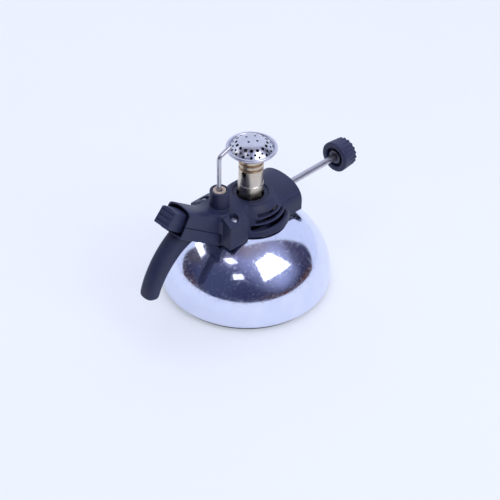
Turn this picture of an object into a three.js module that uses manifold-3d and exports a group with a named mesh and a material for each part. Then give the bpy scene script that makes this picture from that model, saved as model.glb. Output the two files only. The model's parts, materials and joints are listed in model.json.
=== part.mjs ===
// Table-top gas burner with a domed tank, a piezo lighter, and an adjuster on a long rod.
// Units are millimetres. +Z is up, +X runs from the burner out to the adjuster knob.
// The origin is on the table, under the middle of the whole length.
import * as THREE from 'three';
import { mergeVertices } from 'three/addons/utils/BufferGeometryUtils.js';
import Module from 'manifold-3d';

// ---------------------------------------------------------------- driving dimensions
const GAP = 0.3;                    // clearance between pieces that touch
const MIDDLE_X = 1.6;               // middle of the length, measured like every x below from the tank's axis

const TANK_RADIUS = 47.2;           // widest radius of the dome
const TANK_WIDEST_Z = 4.5;
const TANK_RISE = 41.3;             // from the widest ring to where the dome would close
const TANK_ROUNDNESS = 2.13;        // exponent of the dome's curve, 2 is an ellipse
const TANK_FOOT_RADIUS = 44.9;      // rolled lower edge
const TANK_FOOT_Z = 1.9;
const TANK_WALL = 1.0;
const SEAT_Z = 43.0;                // flat seat pressed in the top of the dome

const BURNER_X = 2.1;               // burner axis
const ROD_Z = 48.3;                 // height of the adjuster rod
const ROD_RADIUS = 1.85;

const VALVE_RADIUS = 7.2;
const VALVE_TOP_Z = 53.2;
const SPIGOT_RADIUS = 4.3;
const BURNER_BORE = SPIGOT_RADIUS + GAP;

const TUBE_RADIUS = 6.7;
const TUBE_FOOT_RADIUS = 7.0;
const TUBE_FOOT_Z = VALVE_TOP_Z + GAP;
const HEX_TOP_Z = 60.6;
const STEP_Z = 64.8;
const TUBE_TOP_Z = 81.2;
const GROOVE_HEIGHTS = [75.3, 78.6];
const AIR_HOLE_Z = 72.7;
const AIR_HOLE_TURN = THREE.MathUtils.degToRad(10.4);

const RIM_RADIUS = 13.8;            // rolled rim of the burner head
const RIM_Z = 87.7;                 // its top
const RIM_HEIGHT = 2.2;
const CAP_RADIUS = 12.1;
const CAP_RISE = 5.8;
const CAP_THICKNESS = 0.6;

const DECK_Z = 60.0;                // flat top of the plastic housing
const DECK_HALF = 9.9;
const BODY_HALF = 15.6;
const BODY_START_X = -27.1;
const HOUSING_BOTTOM_Z = 42.0;
const WALL = 1.8;
const BLOCK_END_X = -14.2;          // the screw blocks run from BODY_START_X to here
const BLOCK_SHOULDER_Z = 56.4;

const DRUM_TOP_Z = 57.4;
const DRUM_BOTTOM_Z = 43.0;
const DRUM_BOTTOM_RADIUS = 22.0;
const BEZEL_RADIUS = 12.4;
const BEZEL_BORE = 9.7;
const BEZEL_Z = 58.2;
const SHELF_BORE = 7.3;             // a shelf in the bezel closes it round the tube's foot
const SHELF_Z = 56.0;
const SHELF_TOP_Z = 57.2;
const SLEEVE_BOTTOM_Z = 45.0;
const LOUVRES = [                   // [low z, high z, start and end angle from -Y in degrees]
  [52.4, 54.0, -30, 22],
  [49.7, 51.7, -35, 33],
  [46.3, 48.9, -43, 38],
];

const HOOD_END_X = 26.7;
const HOOD_HALF = 15.4;
const HOOD_SPRING_Z = 47.3;         // where the arch leaves the straight sides
const HOOD_RISE = 11.1;
const HOOD_ROUNDNESS = 2.26;

const POST_X = -20.9;
const POST_RADIUS = 5.2;
const POST_TOP_Z = 70.8;
const INSULATOR_RADIUS = 3.6;
const WIRE_RADIUS = 1.2;

const BUTTON_TILT = THREE.MathUtils.degToRad(29);   // the button's axis above the horizontal
const NECK_FALL = THREE.MathUtils.degToRad(35);     // slope of the neck
const NECK_HALF = 8.1;
const NECK_DEPTH = 14.1;
const NECK_CROWN = 1.6;
const NECK_END = [-48.8, 73.0];     // x, z of the shoulder at the neck's open end
const NECK_LENGTH = 40;
const BUTTON_CENTRE_DROP = 6.4;     // button axis below the shoulder
const PIEZO_DROP = 0.9;             // the lighter's works sit this much lower still
const BUTTON_HALF = 5.1;
const BUTTON_PROUD = 9.1;           // how far its face stands out, on the axis
const BUTTON_LEAN = 0.234;          // how much less it stands out for each mm up the face
const BUTTON_FACE = [-3.7, 5.7];    // low and high edge of the face, from the axis
const BUTTON_ROOT = [-5.5, 4.9];    // the same where it enters the neck
const BUTTON_GRIPS = [3.9, 1.0, -1.9];
const BUTTON_TRAVEL = 4.5;

const HANDLE_CURVE = [[-43.0, 56.4], [-56.8, 53.0], [-67.4, 38.3], [-70.25, 27.8]];
const HANDLE_ROOT_DEPTH = 15.0;
const HANDLE_TIP_DEPTH = 8.9;
const HANDLE_HALF = 4.8;

const KNOB_X = 67.7;                // front face of the knob
const KNOB_RADIUS = 8.95;           // at the front; the grip narrows to the rear
const KNOB_REAR_RADIUS = 8.2;
const KNOB_LENGTH = 10.2;
const KNOB_FLUTES = 18;

const SCREW_X = -20.9;
const SCREW_Y = 11.2;

// ---------------------------------------------------------------- materials
const metal = (color, roughness) => new THREE.MeshStandardMaterial({ color, roughness, metalness: 1 });
const dull = (color, roughness) => new THREE.MeshStandardMaterial({ color, roughness, metalness: 0 });
const chrome = () => metal(0xdfe2ea, 0.06);
const steel = () => metal(0xb9bbc4, 0.25);
const nickel = () => metal(0xc8bfae, 0.28);
const brass = () => metal(0xb98f4a, 0.35);
const blackPlastic = () => dull(0x23232e, 0.5);
const rubber = () => dull(0x17171a, 0.8);
const ceramic = () => dull(0xb3a79c, 0.6);

// ---------------------------------------------------------------- solids
const wasm = await Module();
wasm.setup();

function solid(geometry) {
  const bare = geometry.clone();
  bare.deleteAttribute('normal');
  bare.deleteAttribute('uv');
  const merged = mergeVertices(bare, 1e-4);
  const index = merged.index.array;
  const faces = [];
  for (let i = 0; i < index.length; i += 3) {
    const [a, b, c] = [index[i], index[i + 1], index[i + 2]];
    if (a !== b && b !== c && c !== a) faces.push(a, b, c);
  }
  const corners = merged.attributes.position.array;
  if (signedVolume(corners, faces) < 0) {
    for (let i = 0; i < faces.length; i += 3) [faces[i], faces[i + 1]] = [faces[i + 1], faces[i]];
  }
  return new wasm.Manifold(new wasm.Mesh({
    numProp: 3,
    vertProperties: new Float32Array(corners),
    triVerts: new Uint32Array(faces),
  }));
}

function signedVolume(corners, faces) {
  const [a, b, c] = [new THREE.Vector3(), new THREE.Vector3(), new THREE.Vector3()];
  let sum = 0;
  for (let i = 0; i < faces.length; i += 3) {
    a.fromArray(corners, faces[i] * 3);
    b.fromArray(corners, faces[i + 1] * 3);
    c.fromArray(corners, faces[i + 2] * 3);
    sum += a.dot(b.cross(c)) / 6;
  }
  return sum;
}

function geometryOf(manifold) {
  const { vertProperties, triVerts } = manifold.getMesh();
  const geometry = new THREE.BufferGeometry();
  geometry.setAttribute('position', new THREE.BufferAttribute(new Float32Array(vertProperties), 3));
  geometry.setIndex(new THREE.BufferAttribute(new Uint32Array(triVerts), 1));
  const flat = geometry.toNonIndexed();
  flat.computeVertexNormals();
  return flat;
}

const joined = (...parts) => parts.reduce((sum, part) => sum.add(part));
const cut = (from, ...tools) => tools.reduce((rest, tool) => rest.subtract(tool), from);

function block([x0, x1], [y0, y1], [z0, z1]) {
  const box = new THREE.BoxGeometry(x1 - x0, y1 - y0, z1 - z0);
  return solid(box.translate((x0 + x1) / 2, (y0 + y1) / 2, (z0 + z1) / 2));
}

// A closed [radius, height] profile turned about a vertical axis at [x, y].
function turned(profile, sides = 40, [x, y] = [0, 0]) {
  const points = [...profile, profile[0]].map(([r, z]) => new THREE.Vector2(r, z));
  return solid(new THREE.LatheGeometry(points, sides).rotateX(Math.PI / 2).translate(x, y, 0));
}

const disc = (radius, z0, z1, sides, centre) =>
  turned([[0, z0], [radius, z0], [radius, z1], [0, z1]], sides, centre);

const ring = (inner, outer, z0, z1, sides, centre) =>
  turned([[inner, z0], [outer, z0], [outer, z1], [inner, z1]], sides, centre);

// A turned profile whose height axis points along a direction, from a point.
function turnedAlong(profile, sides, from, direction) {
  const points = [...profile, profile[0]].map(([r, h]) => new THREE.Vector2(r, h));
  const lathe = new THREE.LatheGeometry(points, sides);
  const axis = new THREE.Vector3(...direction).normalize();
  const turn = new THREE.Quaternion().setFromUnitVectors(new THREE.Vector3(0, 1, 0), axis);
  return solid(lathe.applyQuaternion(turn).translate(...from));
}

const bar = (radius, length, from, direction, sides = 20) =>
  turnedAlong([[0, 0], [radius, 0], [radius, length], [0, length]], sides, from, direction);

// An outline drawn in the u, v plane of a frame and drawn out along its w axis.
function prism(outline, frame, w0, w1) {
  const shape = outline instanceof THREE.Shape ? outline
    : new THREE.Shape(outline.map(([u, v]) => new THREE.Vector2(u, v)));
  const raw = new THREE.ExtrudeGeometry(shape, { depth: w1 - w0, bevelEnabled: false, curveSegments: 5 });
  raw.translate(0, 0, w0);
  const basis = new THREE.Matrix4().makeBasis(...frame.axes.map((a) => new THREE.Vector3(...a)));
  return solid(raw.applyMatrix4(basis).translate(...frame.origin));
}

const alongX = { origin: [0, 0, 0], axes: [[0, 1, 0], [0, 0, 1], [1, 0, 0]] };

function sweep(curve, radius, sides, steps) {
  const section = new THREE.Shape();
  section.absarc(0, 0, radius, 0, 2 * Math.PI);
  const round = new THREE.Shape(section.getSpacedPoints(sides).slice(0, sides));
  return solid(new THREE.ExtrudeGeometry(round, { extrudePath: curve, steps, bevelEnabled: false }));
}

class Helix extends THREE.Curve {
  constructor(radius, turns, length, from, direction) {
    super();
    Object.assign(this, { radius, turns, length, from: new THREE.Vector3(...from) });
    this.turn = new THREE.Quaternion()
      .setFromUnitVectors(new THREE.Vector3(0, 0, 1), new THREE.Vector3(...direction).normalize());
  }

  getPoint(t, target = new THREE.Vector3()) {
    const angle = 2 * Math.PI * this.turns * t;
    return target.set(this.radius * Math.cos(angle), this.radius * Math.sin(angle), this.length * t)
      .applyQuaternion(this.turn).add(this.from);
  }
}

const spring = (radius, wire, turns, length, from, direction) =>
  sweep(new Helix(radius, turns, length, from, direction), wire, 5, turns * 8);

const burner = new THREE.Group();

function piece(name, shape, material) {
  const mesh = new THREE.Mesh(geometryOf(shape).translate(-MIDDLE_X, 0, 0), material);
  mesh.name = name;
  burner.add(mesh);
}

// ---------------------------------------------------------------- tank
function domeRadius(z) {
  const lift = Math.min(1, Math.max(0, (z - TANK_WIDEST_Z) / TANK_RISE));
  return TANK_RADIUS * (1 - lift ** TANK_ROUNDNESS) ** (1 / TANK_ROUNDNESS);
}

// [radius, height] points up the dome, from the widest ring to a height, moved out by an offset.
function domeCurve(offset, top, steps) {
  const points = [];
  for (let i = 0; i <= steps; i += 1) {
    const z = TANK_WIDEST_Z + (top - TANK_WIDEST_Z) * Math.sin((i / steps) * Math.PI / 2);
    points.push([domeRadius(z) + offset * domeRadius(z) / TANK_RADIUS, z]);
  }
  return points;
}

function tank() {
  const neckRadius = 6.2;
  const inside = domeCurve(-TANK_WALL, SEAT_Z - TANK_WALL, 4).reverse();
  const shell = turned([
    [TANK_FOOT_RADIUS - 1.2, TANK_FOOT_Z], [TANK_FOOT_RADIUS + 0.4, TANK_FOOT_Z],
    [TANK_FOOT_RADIUS + 1.6, TANK_FOOT_Z + 0.8],
    ...domeCurve(0, SEAT_Z, 10), [0, SEAT_Z],
    [0, SEAT_Z - TANK_WALL], ...inside, [TANK_FOOT_RADIUS - 1.2, TANK_FOOT_Z + 1.4],
  ], 48);
  piece('tank_shell', cut(shell, disc(neckRadius, SEAT_Z - 3, SEAT_Z + 1, 32, [BURNER_X, 0])), chrome());

  const rim = TANK_FOOT_RADIUS - 1.2 - GAP;
  piece('tank_base', turned([
    [5.6, 3.2], [9, 3.2], [10.5, 1.7], [38, 1.7], [39.5, 3.2], [rim, 3.2], [rim, 4.0],
    [39.2, 4.0], [37.7, 2.5], [10.8, 2.5], [9.3, 4.0], [5.6, 4.0],
  ], 32), steel());
  piece('foot_ring', turned([
    [40.4, 0], [44.2, 0], [44.6, 0.4], [44.6, TANK_FOOT_Z - GAP], [43.0, TANK_FOOT_Z - GAP],
    [43.0, 3.2 - GAP], [40.4, 3.2 - GAP],
  ], 40), rubber());
  piece('gas_wick', disc(2.2, 17.0, 34.6, 16, [BURNER_X, 0]), dull(0xd8d2c4, 0.95));
}

function refillValve() {
  const chamber = 3.1;
  const top = 15.5;
  piece('refill_valve_body', turned([
    [1.6, 1.2], [5.2, 1.2], [5.2, 3.7], [5.2, 4.3], [7.4, 4.3], [7.4, 5.6], [4.6, 5.6], [4.6, top],
    [0.9, top], [0.9, top - 1.6], [chamber, top - 1.6], [chamber, 3.0], [1.6, 3.0],
  ], 24), brass());
  piece('refill_valve_seal', ring(1.7, chamber - GAP, 3.3, 4.5, 24), rubber());
  piece('refill_valve_stem', turned([
    [0.5, 0.7], [1.25, 0.7], [1.25, 4.8], [2.5, 4.8], [2.5, 6.4], [0.9, 6.4], [0.9, 9.0],
    [0, 9.0], [0, 7.6], [0.5, 7.6],
  ], 20), brass());
  piece('refill_valve_spring', spring(1.75, 0.3, 5, 6.3, [0, 0, 6.95], [0, 0, 1]), steel());
}

// ---------------------------------------------------------------- gas valve and adjuster
const BOSS_END_X = 16.0;
const NEEDLE_TIP_X = 4.6;
const NEEDLE_END_X = 15.2;
const ROD_START_X = NEEDLE_END_X + GAP;
const GLAND_END_X = 21.6;

function gasValve() {
  const centre = [BURNER_X, 0];
  const flangeZ = SEAT_Z + GAP + 1.0 + GAP;
  const column = joined(
    disc(9.4, flangeZ, flangeZ + 1.4, 36, centre),
    disc(VALVE_RADIUS, flangeZ + 1, VALVE_TOP_Z, 36, centre),
    disc(SPIGOT_RADIUS, VALVE_TOP_Z - 1, 57.6, 28, centre),
    disc(5.6, 35.0, flangeZ + 1, 28, centre),
    bar(3.4, BOSS_END_X - BURNER_X, [BURNER_X, 0, ROD_Z], [1, 0, 0], 24),
  );
  const passages = joined(
    disc(1.0, 34, ROD_Z, 12, centre),
    disc(2.5, 34, 37, 16, centre),
    disc(1.0, ROD_Z, 56, 12, centre),
    disc(2.6, 54.6, 58, 16, centre),
    bar(2.1, 20, [NEEDLE_TIP_X - 1.2, 0, ROD_Z], [1, 0, 0], 20),
    bar(1.0, 5, [BURNER_X, 0, ROD_Z], [1, 0, 0], 12),
  );
  piece('valve_body', cut(column, passages), brass());
  piece('tank_gasket', ring(6.4, 9.2, SEAT_Z + GAP, SEAT_Z + GAP + 1.0, 36, centre), rubber());
  piece('gas_jet', turned([
    [0.4, 54.9], [2.3, 54.9], [2.3, 57.9], [2.9, 57.9], [2.9, 59.2], [1.2, 60.4], [0.4, 60.4],
  ], 18, centre), brass());

  const needle = turnedAlong([[0, 0], [0.5, 0.6], [1.8, 3.6], [1.8, NEEDLE_END_X - NEEDLE_TIP_X],
    [0, NEEDLE_END_X - NEEDLE_TIP_X]], 20, [NEEDLE_TIP_X, 0, ROD_Z], [1, 0, 0]);
  piece('needle', needle, steel());

  const glandStart = BOSS_END_X + GAP;
  const hexOuter = bar(4.0, GLAND_END_X - glandStart, [glandStart, 0, ROD_Z], [1, 0, 0], 6);
  const glandBore = turnedAlong([[0, -1], [3.4, -1], [3.4, 2.4], [ROD_RADIUS + GAP, 2.4],
    [ROD_RADIUS + GAP, 9], [0, 9]], 24, [glandStart, 0, ROD_Z], [1, 0, 0]);
  piece('gland_nut', cut(hexOuter, glandBore), brass());
  piece('gland_seal', turnedAlong([[ROD_RADIUS + GAP, 0], [3.1, 0], [3.1, 1.9], [ROD_RADIUS + GAP, 1.9]],
    24, [glandStart + 0.2, 0, ROD_Z], [1, 0, 0]), rubber());
}

function adjuster() {
  const along = [1, 0, 0];
  const front = [KNOB_X, 0, ROD_Z];
  const hub = 4.0;
  const cupRadius = 5.9;
  const hubDepth = 6.0;
  const rodEnd = KNOB_X + 5.4;
  piece('adjuster_rod', bar(ROD_RADIUS, rodEnd - ROD_START_X, [ROD_START_X, 0, ROD_Z], along, 20), steel());
  piece('knob_insert', turnedAlong([
    [ROD_RADIUS + GAP, 0], [hub - 0.5, 0], [hub, 0.5], [hub, hubDepth], [0, hubDepth], [0, hubDepth - 0.4],
    [ROD_RADIUS + GAP, hubDepth - 0.4],
  ], 24, [KNOB_X + 0.3, 0, ROD_Z], along), metal(0x6f7076, 0.45));

  // The grip is a cone with flutes that run out towards the smooth front.
  const cone = turnedAlong([[0, 0], [KNOB_RADIUS - 0.6, 0], [KNOB_RADIUS, 0.6], [KNOB_RADIUS, 2.2],
    [KNOB_REAR_RADIUS + 0.1, KNOB_LENGTH - 0.8], [KNOB_REAR_RADIUS - 0.7, KNOB_LENGTH], [0, KNOB_LENGTH]],
  36, front, along);
  const flutes = [];
  for (let i = 0; i < KNOB_FLUTES; i += 1) {
    const angle = (i / KNOB_FLUTES) * 2 * Math.PI;
    const [y, z] = [Math.cos(angle), Math.sin(angle)];
    const start = KNOB_RADIUS + 1.15;
    const end = KNOB_REAR_RADIUS + 0.55;
    const lean = (end - start) / (KNOB_LENGTH - 1.6);
    flutes.push(bar(1.1, KNOB_LENGTH + 3, [KNOB_X + 1.6, y * start, ROD_Z + z * start],
      [1, y * lean, z * lean], 6));
  }
  const cup = turnedAlong([[0, -1], [cupRadius, -1], [cupRadius, 3.4], [hub + GAP, 3.4],
    [hub + GAP, hubDepth + 0.3 + GAP], [0, hubDepth + 0.3 + GAP]], 24, front, along);
  piece('adjuster_knob', cut(cone, cup, ...flutes), blackPlastic());
}

// ---------------------------------------------------------------- burner tube and head
function burnerHead() {
  const centre = [BURNER_X, 0];
  const groove = 0.55;
  const outside = [[TUBE_FOOT_RADIUS, TUBE_FOOT_Z], [TUBE_FOOT_RADIUS, STEP_Z], [TUBE_RADIUS, STEP_Z + 0.3]];
  for (const z of GROOVE_HEIGHTS) {
    outside.push([TUBE_RADIUS, z - 0.8], [TUBE_RADIUS - groove, z - 0.4], [TUBE_RADIUS - groove, z + 0.4],
      [TUBE_RADIUS, z + 0.8]);
  }
  const tube = turned([...outside, [TUBE_RADIUS, TUBE_TOP_Z], [5.4, TUBE_TOP_Z], [5.4, 61.0],
    [BURNER_BORE, 60.2], [BURNER_BORE, TUBE_FOOT_Z]], 30, centre);
  const hexRadius = TUBE_FOOT_RADIUS;
  const hexOutline = [];
  for (let i = 0; i < 6; i += 1) {
    const angle = Math.PI / 4 + i * Math.PI / 3;
    hexOutline.push([hexRadius * Math.cos(angle), hexRadius * Math.sin(angle)]);
  }
  const upright = { origin: [BURNER_X, 0, 0], axes: [[1, 0, 0], [0, 1, 0], [0, 0, 1]] };
  const aroundHex = cut(disc(12, TUBE_FOOT_Z - 1, HEX_TOP_Z, 12, centre),
    prism(hexOutline, upright, TUBE_FOOT_Z - 2, HEX_TOP_Z + 1));
  const hole = bar(1.5, 30, [BURNER_X - 15 * Math.cos(AIR_HOLE_TURN), -15 * Math.sin(AIR_HOLE_TURN), AIR_HOLE_Z],
    [Math.cos(AIR_HOLE_TURN), Math.sin(AIR_HOLE_TURN), 0], 12);
  piece('burner_tube', cut(tube, aroundHex, hole), nickel());

  const under = RIM_Z - RIM_HEIGHT;
  piece('burner_cup', turned([
    [4.3, 78.4], [5.1, 78.4], [5.1, TUBE_TOP_Z + GAP], [7.1, TUBE_TOP_Z + GAP], [10.2, 83.4], [12.4, under],
    [13.3, under + 0.15], [RIM_RADIUS, under + 0.9], [RIM_RADIUS, RIM_Z - 0.7], [13.4, RIM_Z - 0.1],
    [12.9, RIM_Z], [12.4, RIM_Z - 0.4], [12.4, under + 0.7], [9.9, 84.1], [6.9, 82.3], [4.3, 81.6],
  ], 32, centre), steel());
  gauze(centre);
  cap(centre);
}

function gauze(centre) {
  let mesh = disc(10.8, 85.0, 85.4, 24, centre);
  for (const [count, radius] of [[5, 3.4], [10, 6.8]]) {
    for (let i = 0; i < count; i += 1) {
      const angle = (i / count) * 2 * Math.PI;
      mesh = mesh.subtract(disc(0.9, 84, 86, 6,
        [centre[0] + radius * Math.cos(angle), centre[1] + radius * Math.sin(angle)]));
    }
  }
  piece('flame_gauze', mesh, steel());
}

// Height of the cap's outside above its edge, at a radius.
const capHeight = (r) => CAP_RISE * (1 - (r / CAP_RADIUS) ** 2.3);

function cap(centre) {
  const edgeZ = RIM_Z - 1.0;
  const outside = [];
  const inside = [];
  for (let i = 0; i <= 4; i += 1) {
    const r = CAP_RADIUS * Math.sin((i / 4) * Math.PI / 2);
    outside.push([r, edgeZ + capHeight(r)]);
    if (i < 4) inside.push([r * 0.965, edgeZ + capHeight(r) - CAP_THICKNESS]);
  }
  outside.push([CAP_RADIUS, edgeZ - 0.7], [CAP_RADIUS - CAP_THICKNESS, edgeZ - 0.7]);
  let shell = turned([...outside, ...inside.reverse()], 24, centre);
  const rows = [[4, 3.3, 0.55, 15], [16, 8.1, 0.75, 0], [16, 9.9, 0.55, 11.25], [16, 11.0, 0.6, 0]];
  for (const [count, radius, hole, turn] of rows) {
    for (let i = 0; i < count; i += 1) {
      const angle = (i / count) * 2 * Math.PI + THREE.MathUtils.degToRad(turn);
      const lean = (radius / CAP_RADIUS) ** 2;
      const out = [Math.cos(angle), Math.sin(angle)];
      const from = [centre[0] + out[0] * (radius - 2 * lean), centre[1] + out[1] * (radius - 2 * lean),
        edgeZ + capHeight(radius) - 2];
      shell = shell.subtract(bar(hole, 4, from, [out[0] * lean, out[1] * lean, 1], 4));
    }
  }
  piece('burner_cap', shell, steel());
}

// ---------------------------------------------------------------- lighter
const outward = [-Math.cos(BUTTON_TILT), 0, Math.sin(BUTTON_TILT)];
const upward = [Math.sin(BUTTON_TILT), 0, Math.cos(BUTTON_TILT)];
// A point on the button's axis, a distance out of the neck's open end.
const onAxis = (out, up = 0) => [
  NECK_END[0] + out * outward[0] + (up - BUTTON_CENTRE_DROP) * upward[0], 0,
  NECK_END[1] + out * outward[2] + (up - BUTTON_CENTRE_DROP) * upward[2]];
const buttonFrame = { origin: onAxis(0), axes: [[0, 1, 0], upward, [-outward[0], 0, -outward[2]]] };

// Section of the button between two heights: straight sides, low arch on top.
function buttonOutline(half, low, high) {
  const shape = new THREE.Shape();
  shape.moveTo(-half + 0.8, low);
  shape.lineTo(half - 0.8, low);
  shape.quadraticCurveTo(half, low, half, low + 0.8);
  shape.lineTo(half, high - 1.0);
  shape.quadraticCurveTo(half, high, half - 1.2, high + 0.1);
  shape.quadraticCurveTo(0, high + 0.9, -half + 1.2, high + 0.1);
  shape.quadraticCurveTo(-half, high, -half, high - 1.0);
  shape.lineTo(-half, low + 0.8);
  shape.quadraticCurveTo(-half, low, -half + 0.8, low);
  return shape.getPoints(3).slice(0, -1);
}

// A ring of points round the button's section; depthAt gives how far in each point lies.
function buttonRow(half, [low, high], depthAt) {
  const [across, up, inwards] = buttonFrame.axes.map((a) => new THREE.Vector3(...a));
  return buttonOutline(half, low, high).map(({ x, y }) => new THREE.Vector3(...buttonFrame.origin)
    .addScaledVector(across, x).addScaledVector(up, y).addScaledVector(inwards, depthAt(y)));
}

function lighter() {
  const inward = [-outward[0], 0, -outward[2]];
  const skirt = 3.0;                // how far the button reaches inside the neck
  const [faceLow, faceHigh] = BUTTON_FACE;
  const [rootLow, rootHigh] = BUTTON_ROOT;
  const edge = 0.5;
  const faceDepth = (y) => BUTTON_LEAN * y - BUTTON_PROUD;
  const inside = rootHigh - skirt * Math.tan(NECK_FALL - BUTTON_TILT);
  const head = skin([
    buttonRow(BUTTON_HALF - edge, [faceLow + edge, faceHigh - edge], faceDepth),
    buttonRow(BUTTON_HALF, BUTTON_FACE, (y) => faceDepth(y) + edge),
    buttonRow(BUTTON_HALF, BUTTON_ROOT, () => 0),
    buttonRow(BUTTON_HALF, [rootLow, inside], () => skirt),
  ]);
  const hollow = bar(3.5, skirt + 1, onAxis(0, -PIEZO_DROP), inward, 20);
  const lean = Math.atan(BUTTON_LEAN);
  const faceFrame = {
    origin: onAxis(BUTTON_PROUD),
    axes: [[0, 1, 0],
      upward.map((u, i) => u * Math.cos(lean) + inward[i] * Math.sin(lean)),
      inward.map((w, i) => w * Math.cos(lean) - upward[i] * Math.sin(lean))],
  };
  const grips = BUTTON_GRIPS.map((v) => prism(
    [[-4.2, v - 0.55], [4.2, v - 0.55], [4.2, v + 0.55], [-4.2, v + 0.55]], faceFrame, -1, 0.45));
  piece('ignition_button', cut(head, hollow, ...grips), blackPlastic());

  const caseStart = skirt + BUTTON_TRAVEL + 0.8;
  const caseLength = 17;
  const axis = (depth) => onAxis(-depth, -PIEZO_DROP);
  piece('piezo_plunger', bar(1.9, caseStart + 5.6, axis(0.4), inward, 16), dull(0xd9d4c6, 0.6));
  piece('button_spring', spring(2.7, 0.35, 5, caseStart - 1.4, axis(0.7), inward), steel());
  const body = prism([[-3.3, -3.3], [3.3, -3.3], [3.3, 3.3], [-3.3, 3.3]],
    { origin: axis(0), axes: buttonFrame.axes }, caseStart, caseStart + caseLength);
  piece('piezo_case', cut(body, bar(2.2, 13, axis(caseStart - 1), inward, 16)), dull(0x2a2a30, 0.6));

  const leadEnd = axis(caseStart + caseLength + GAP);
  const lead = new THREE.CatmullRomCurve3([
    leadEnd, [leadEnd[0] + 1.8, 0, leadEnd[2] - 1.0], [leadEnd[0] + 4.6, 0, 50.6], [POST_X - 1.2, 0, 49.6],
    [POST_X, 0, 50.4], [POST_X, 0, 51.6],
  ].map((p) => new THREE.Vector3(...p)));
  piece('ignition_lead', sweep(lead, 0.9, 8, 16), dull(0x8c2f2a, 0.6));

  const centre = [POST_X, 0];
  piece('insulator', turned([
    [WIRE_RADIUS + 0.4, 53.6], [INSULATOR_RADIUS, 53.6], [INSULATOR_RADIUS, POST_TOP_Z - 0.3],
    [INSULATOR_RADIUS - 0.3, POST_TOP_Z], [WIRE_RADIUS + 0.6, POST_TOP_Z], [WIRE_RADIUS + 0.4, POST_TOP_Z - 0.2],
  ], 28, centre), ceramic());

  const route = new THREE.CurvePath();
  const bend = new THREE.Vector3(POST_X - 0.6, 0, 91.6);
  const start = new THREE.Vector3(POST_X, 0, 52.0);
  const tip = new THREE.Vector3(-13.4, 0, 94.5);
  const before = bend.clone().lerp(start, 0.045);
  const after = bend.clone().lerp(tip, 0.24);
  route.add(new THREE.LineCurve3(start, before));
  route.add(new THREE.QuadraticBezierCurve3(before, bend, after));
  route.add(new THREE.LineCurve3(after, tip));
  piece('electrode', sweep(route, WIRE_RADIUS, 10, 16), steel());
}

// ---------------------------------------------------------------- plastic housing
const MOUTH_WALL = 0.9;             // the neck's wall is thin round the button
const MOUTH_DEPTH = 11;
const ROOMY = [[-20, -30], [20, -30], [20, 20], [-20, 20]];   // wider than the neck all round

// Every form below takes an inset, so that the same form moved in by the wall makes the hollow.
const fallFrame = {
  origin: [NECK_END[0], 0, NECK_END[1]],
  axes: [[0, 1, 0], [Math.sin(NECK_FALL), 0, Math.cos(NECK_FALL)], [Math.cos(NECK_FALL), 0, -Math.sin(NECK_FALL)]],
};

function neckForm(inset) {
  const half = NECK_HALF - inset;
  const low = -NECK_DEPTH + inset;
  const crown = NECK_CROWN - inset;
  const shape = new THREE.Shape();
  shape.moveTo(-half + 1, low);
  shape.lineTo(half - 1, low);
  shape.quadraticCurveTo(half, low, half, low + 1);
  shape.lineTo(half, crown - 3.0);
  shape.quadraticCurveTo(half, crown - 1.2, half - 2.2, crown - 0.7);
  shape.quadraticCurveTo(0, crown + 0.7, -half + 2.2, crown - 0.7);
  shape.quadraticCurveTo(-half, crown - 1.2, -half, crown - 3.0);
  shape.lineTo(-half, low + 1);
  shape.quadraticCurveTo(-half, low, -half + 1, low);
  return prism(shape, fallFrame, -8, NECK_LENGTH - inset);
}

function bodyForm(inset) {
  const deck = DECK_Z - inset;
  const section = (bottom) => [
    [-BODY_HALF + inset, bottom], [BODY_HALF - inset, bottom], [DECK_HALF - inset * 0.6, deck],
    [-DECK_HALF + inset * 0.6, deck]];
  return prism(section(HOUSING_BOTTOM_Z - (inset ? 1 : 0)), alongX, BODY_START_X + inset, BURNER_X - 11 - inset);
}

function blockForm(inset) {
  const bottom = HOUSING_BOTTOM_Z - (inset ? 1 : 0);
  const [half, deck] = [BODY_HALF - inset, DECK_Z - inset];
  const inner = DECK_HALF - inset * 0.3;
  const outline = [[-half, bottom], [half, bottom], [half, BLOCK_SHOULDER_Z - inset], [inner, deck],
    [-inner, deck], [-half, BLOCK_SHOULDER_Z - inset]];
  return prism(outline, alongX, BODY_START_X + inset, BLOCK_END_X - inset);
}

function drumForm(inset) {
  const bottom = inset ? HOUSING_BOTTOM_Z - 2 : DRUM_BOTTOM_Z;
  return turned([
    [0, bottom], [DRUM_BOTTOM_RADIUS - inset, bottom], [DRUM_BOTTOM_RADIUS - inset, DRUM_BOTTOM_Z],
    [21.2 - inset, 45.4], [19.2 - inset, 49.0], [16.6 - inset, 53.0], [14.4 - inset * 0.8, 55.8 - inset * 0.5],
    [BEZEL_RADIUS, DRUM_TOP_Z - inset], [0, DRUM_TOP_Z - inset],
  ], 32, [BURNER_X, 0]);
}

function hoodForm(inset) {
  const half = HOOD_HALF - inset;
  const rise = HOOD_RISE - inset;
  const bottom = HOUSING_BOTTOM_Z - (inset ? 1 : 0);
  const outline = [[-half, bottom], [half, bottom]];
  const steps = 12;
  for (let i = 0; i <= steps; i += 1) {
    const y = half * Math.cos((i / steps) * Math.PI);
    const lift = (1 - Math.min(1, Math.abs(y / half)) ** HOOD_ROUNDNESS) ** (1 / HOOD_ROUNDNESS);
    outline.push([y, HOOD_SPRING_Z + rise * lift]);
  }
  return prism(outline, alongX, BURNER_X + (inset ? -2 : 0), HOOD_END_X - inset);
}

// Keeps the housing off the dome, which it straddles.
function domeClearance(offset) {
  const curve = domeCurve(offset, SEAT_Z, 5).map(([r, z]) => [r, z + offset]);
  return turned([[0, 0], [curve[0][0], 0], ...curve, [0, SEAT_Z + offset]], 32);
}

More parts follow.
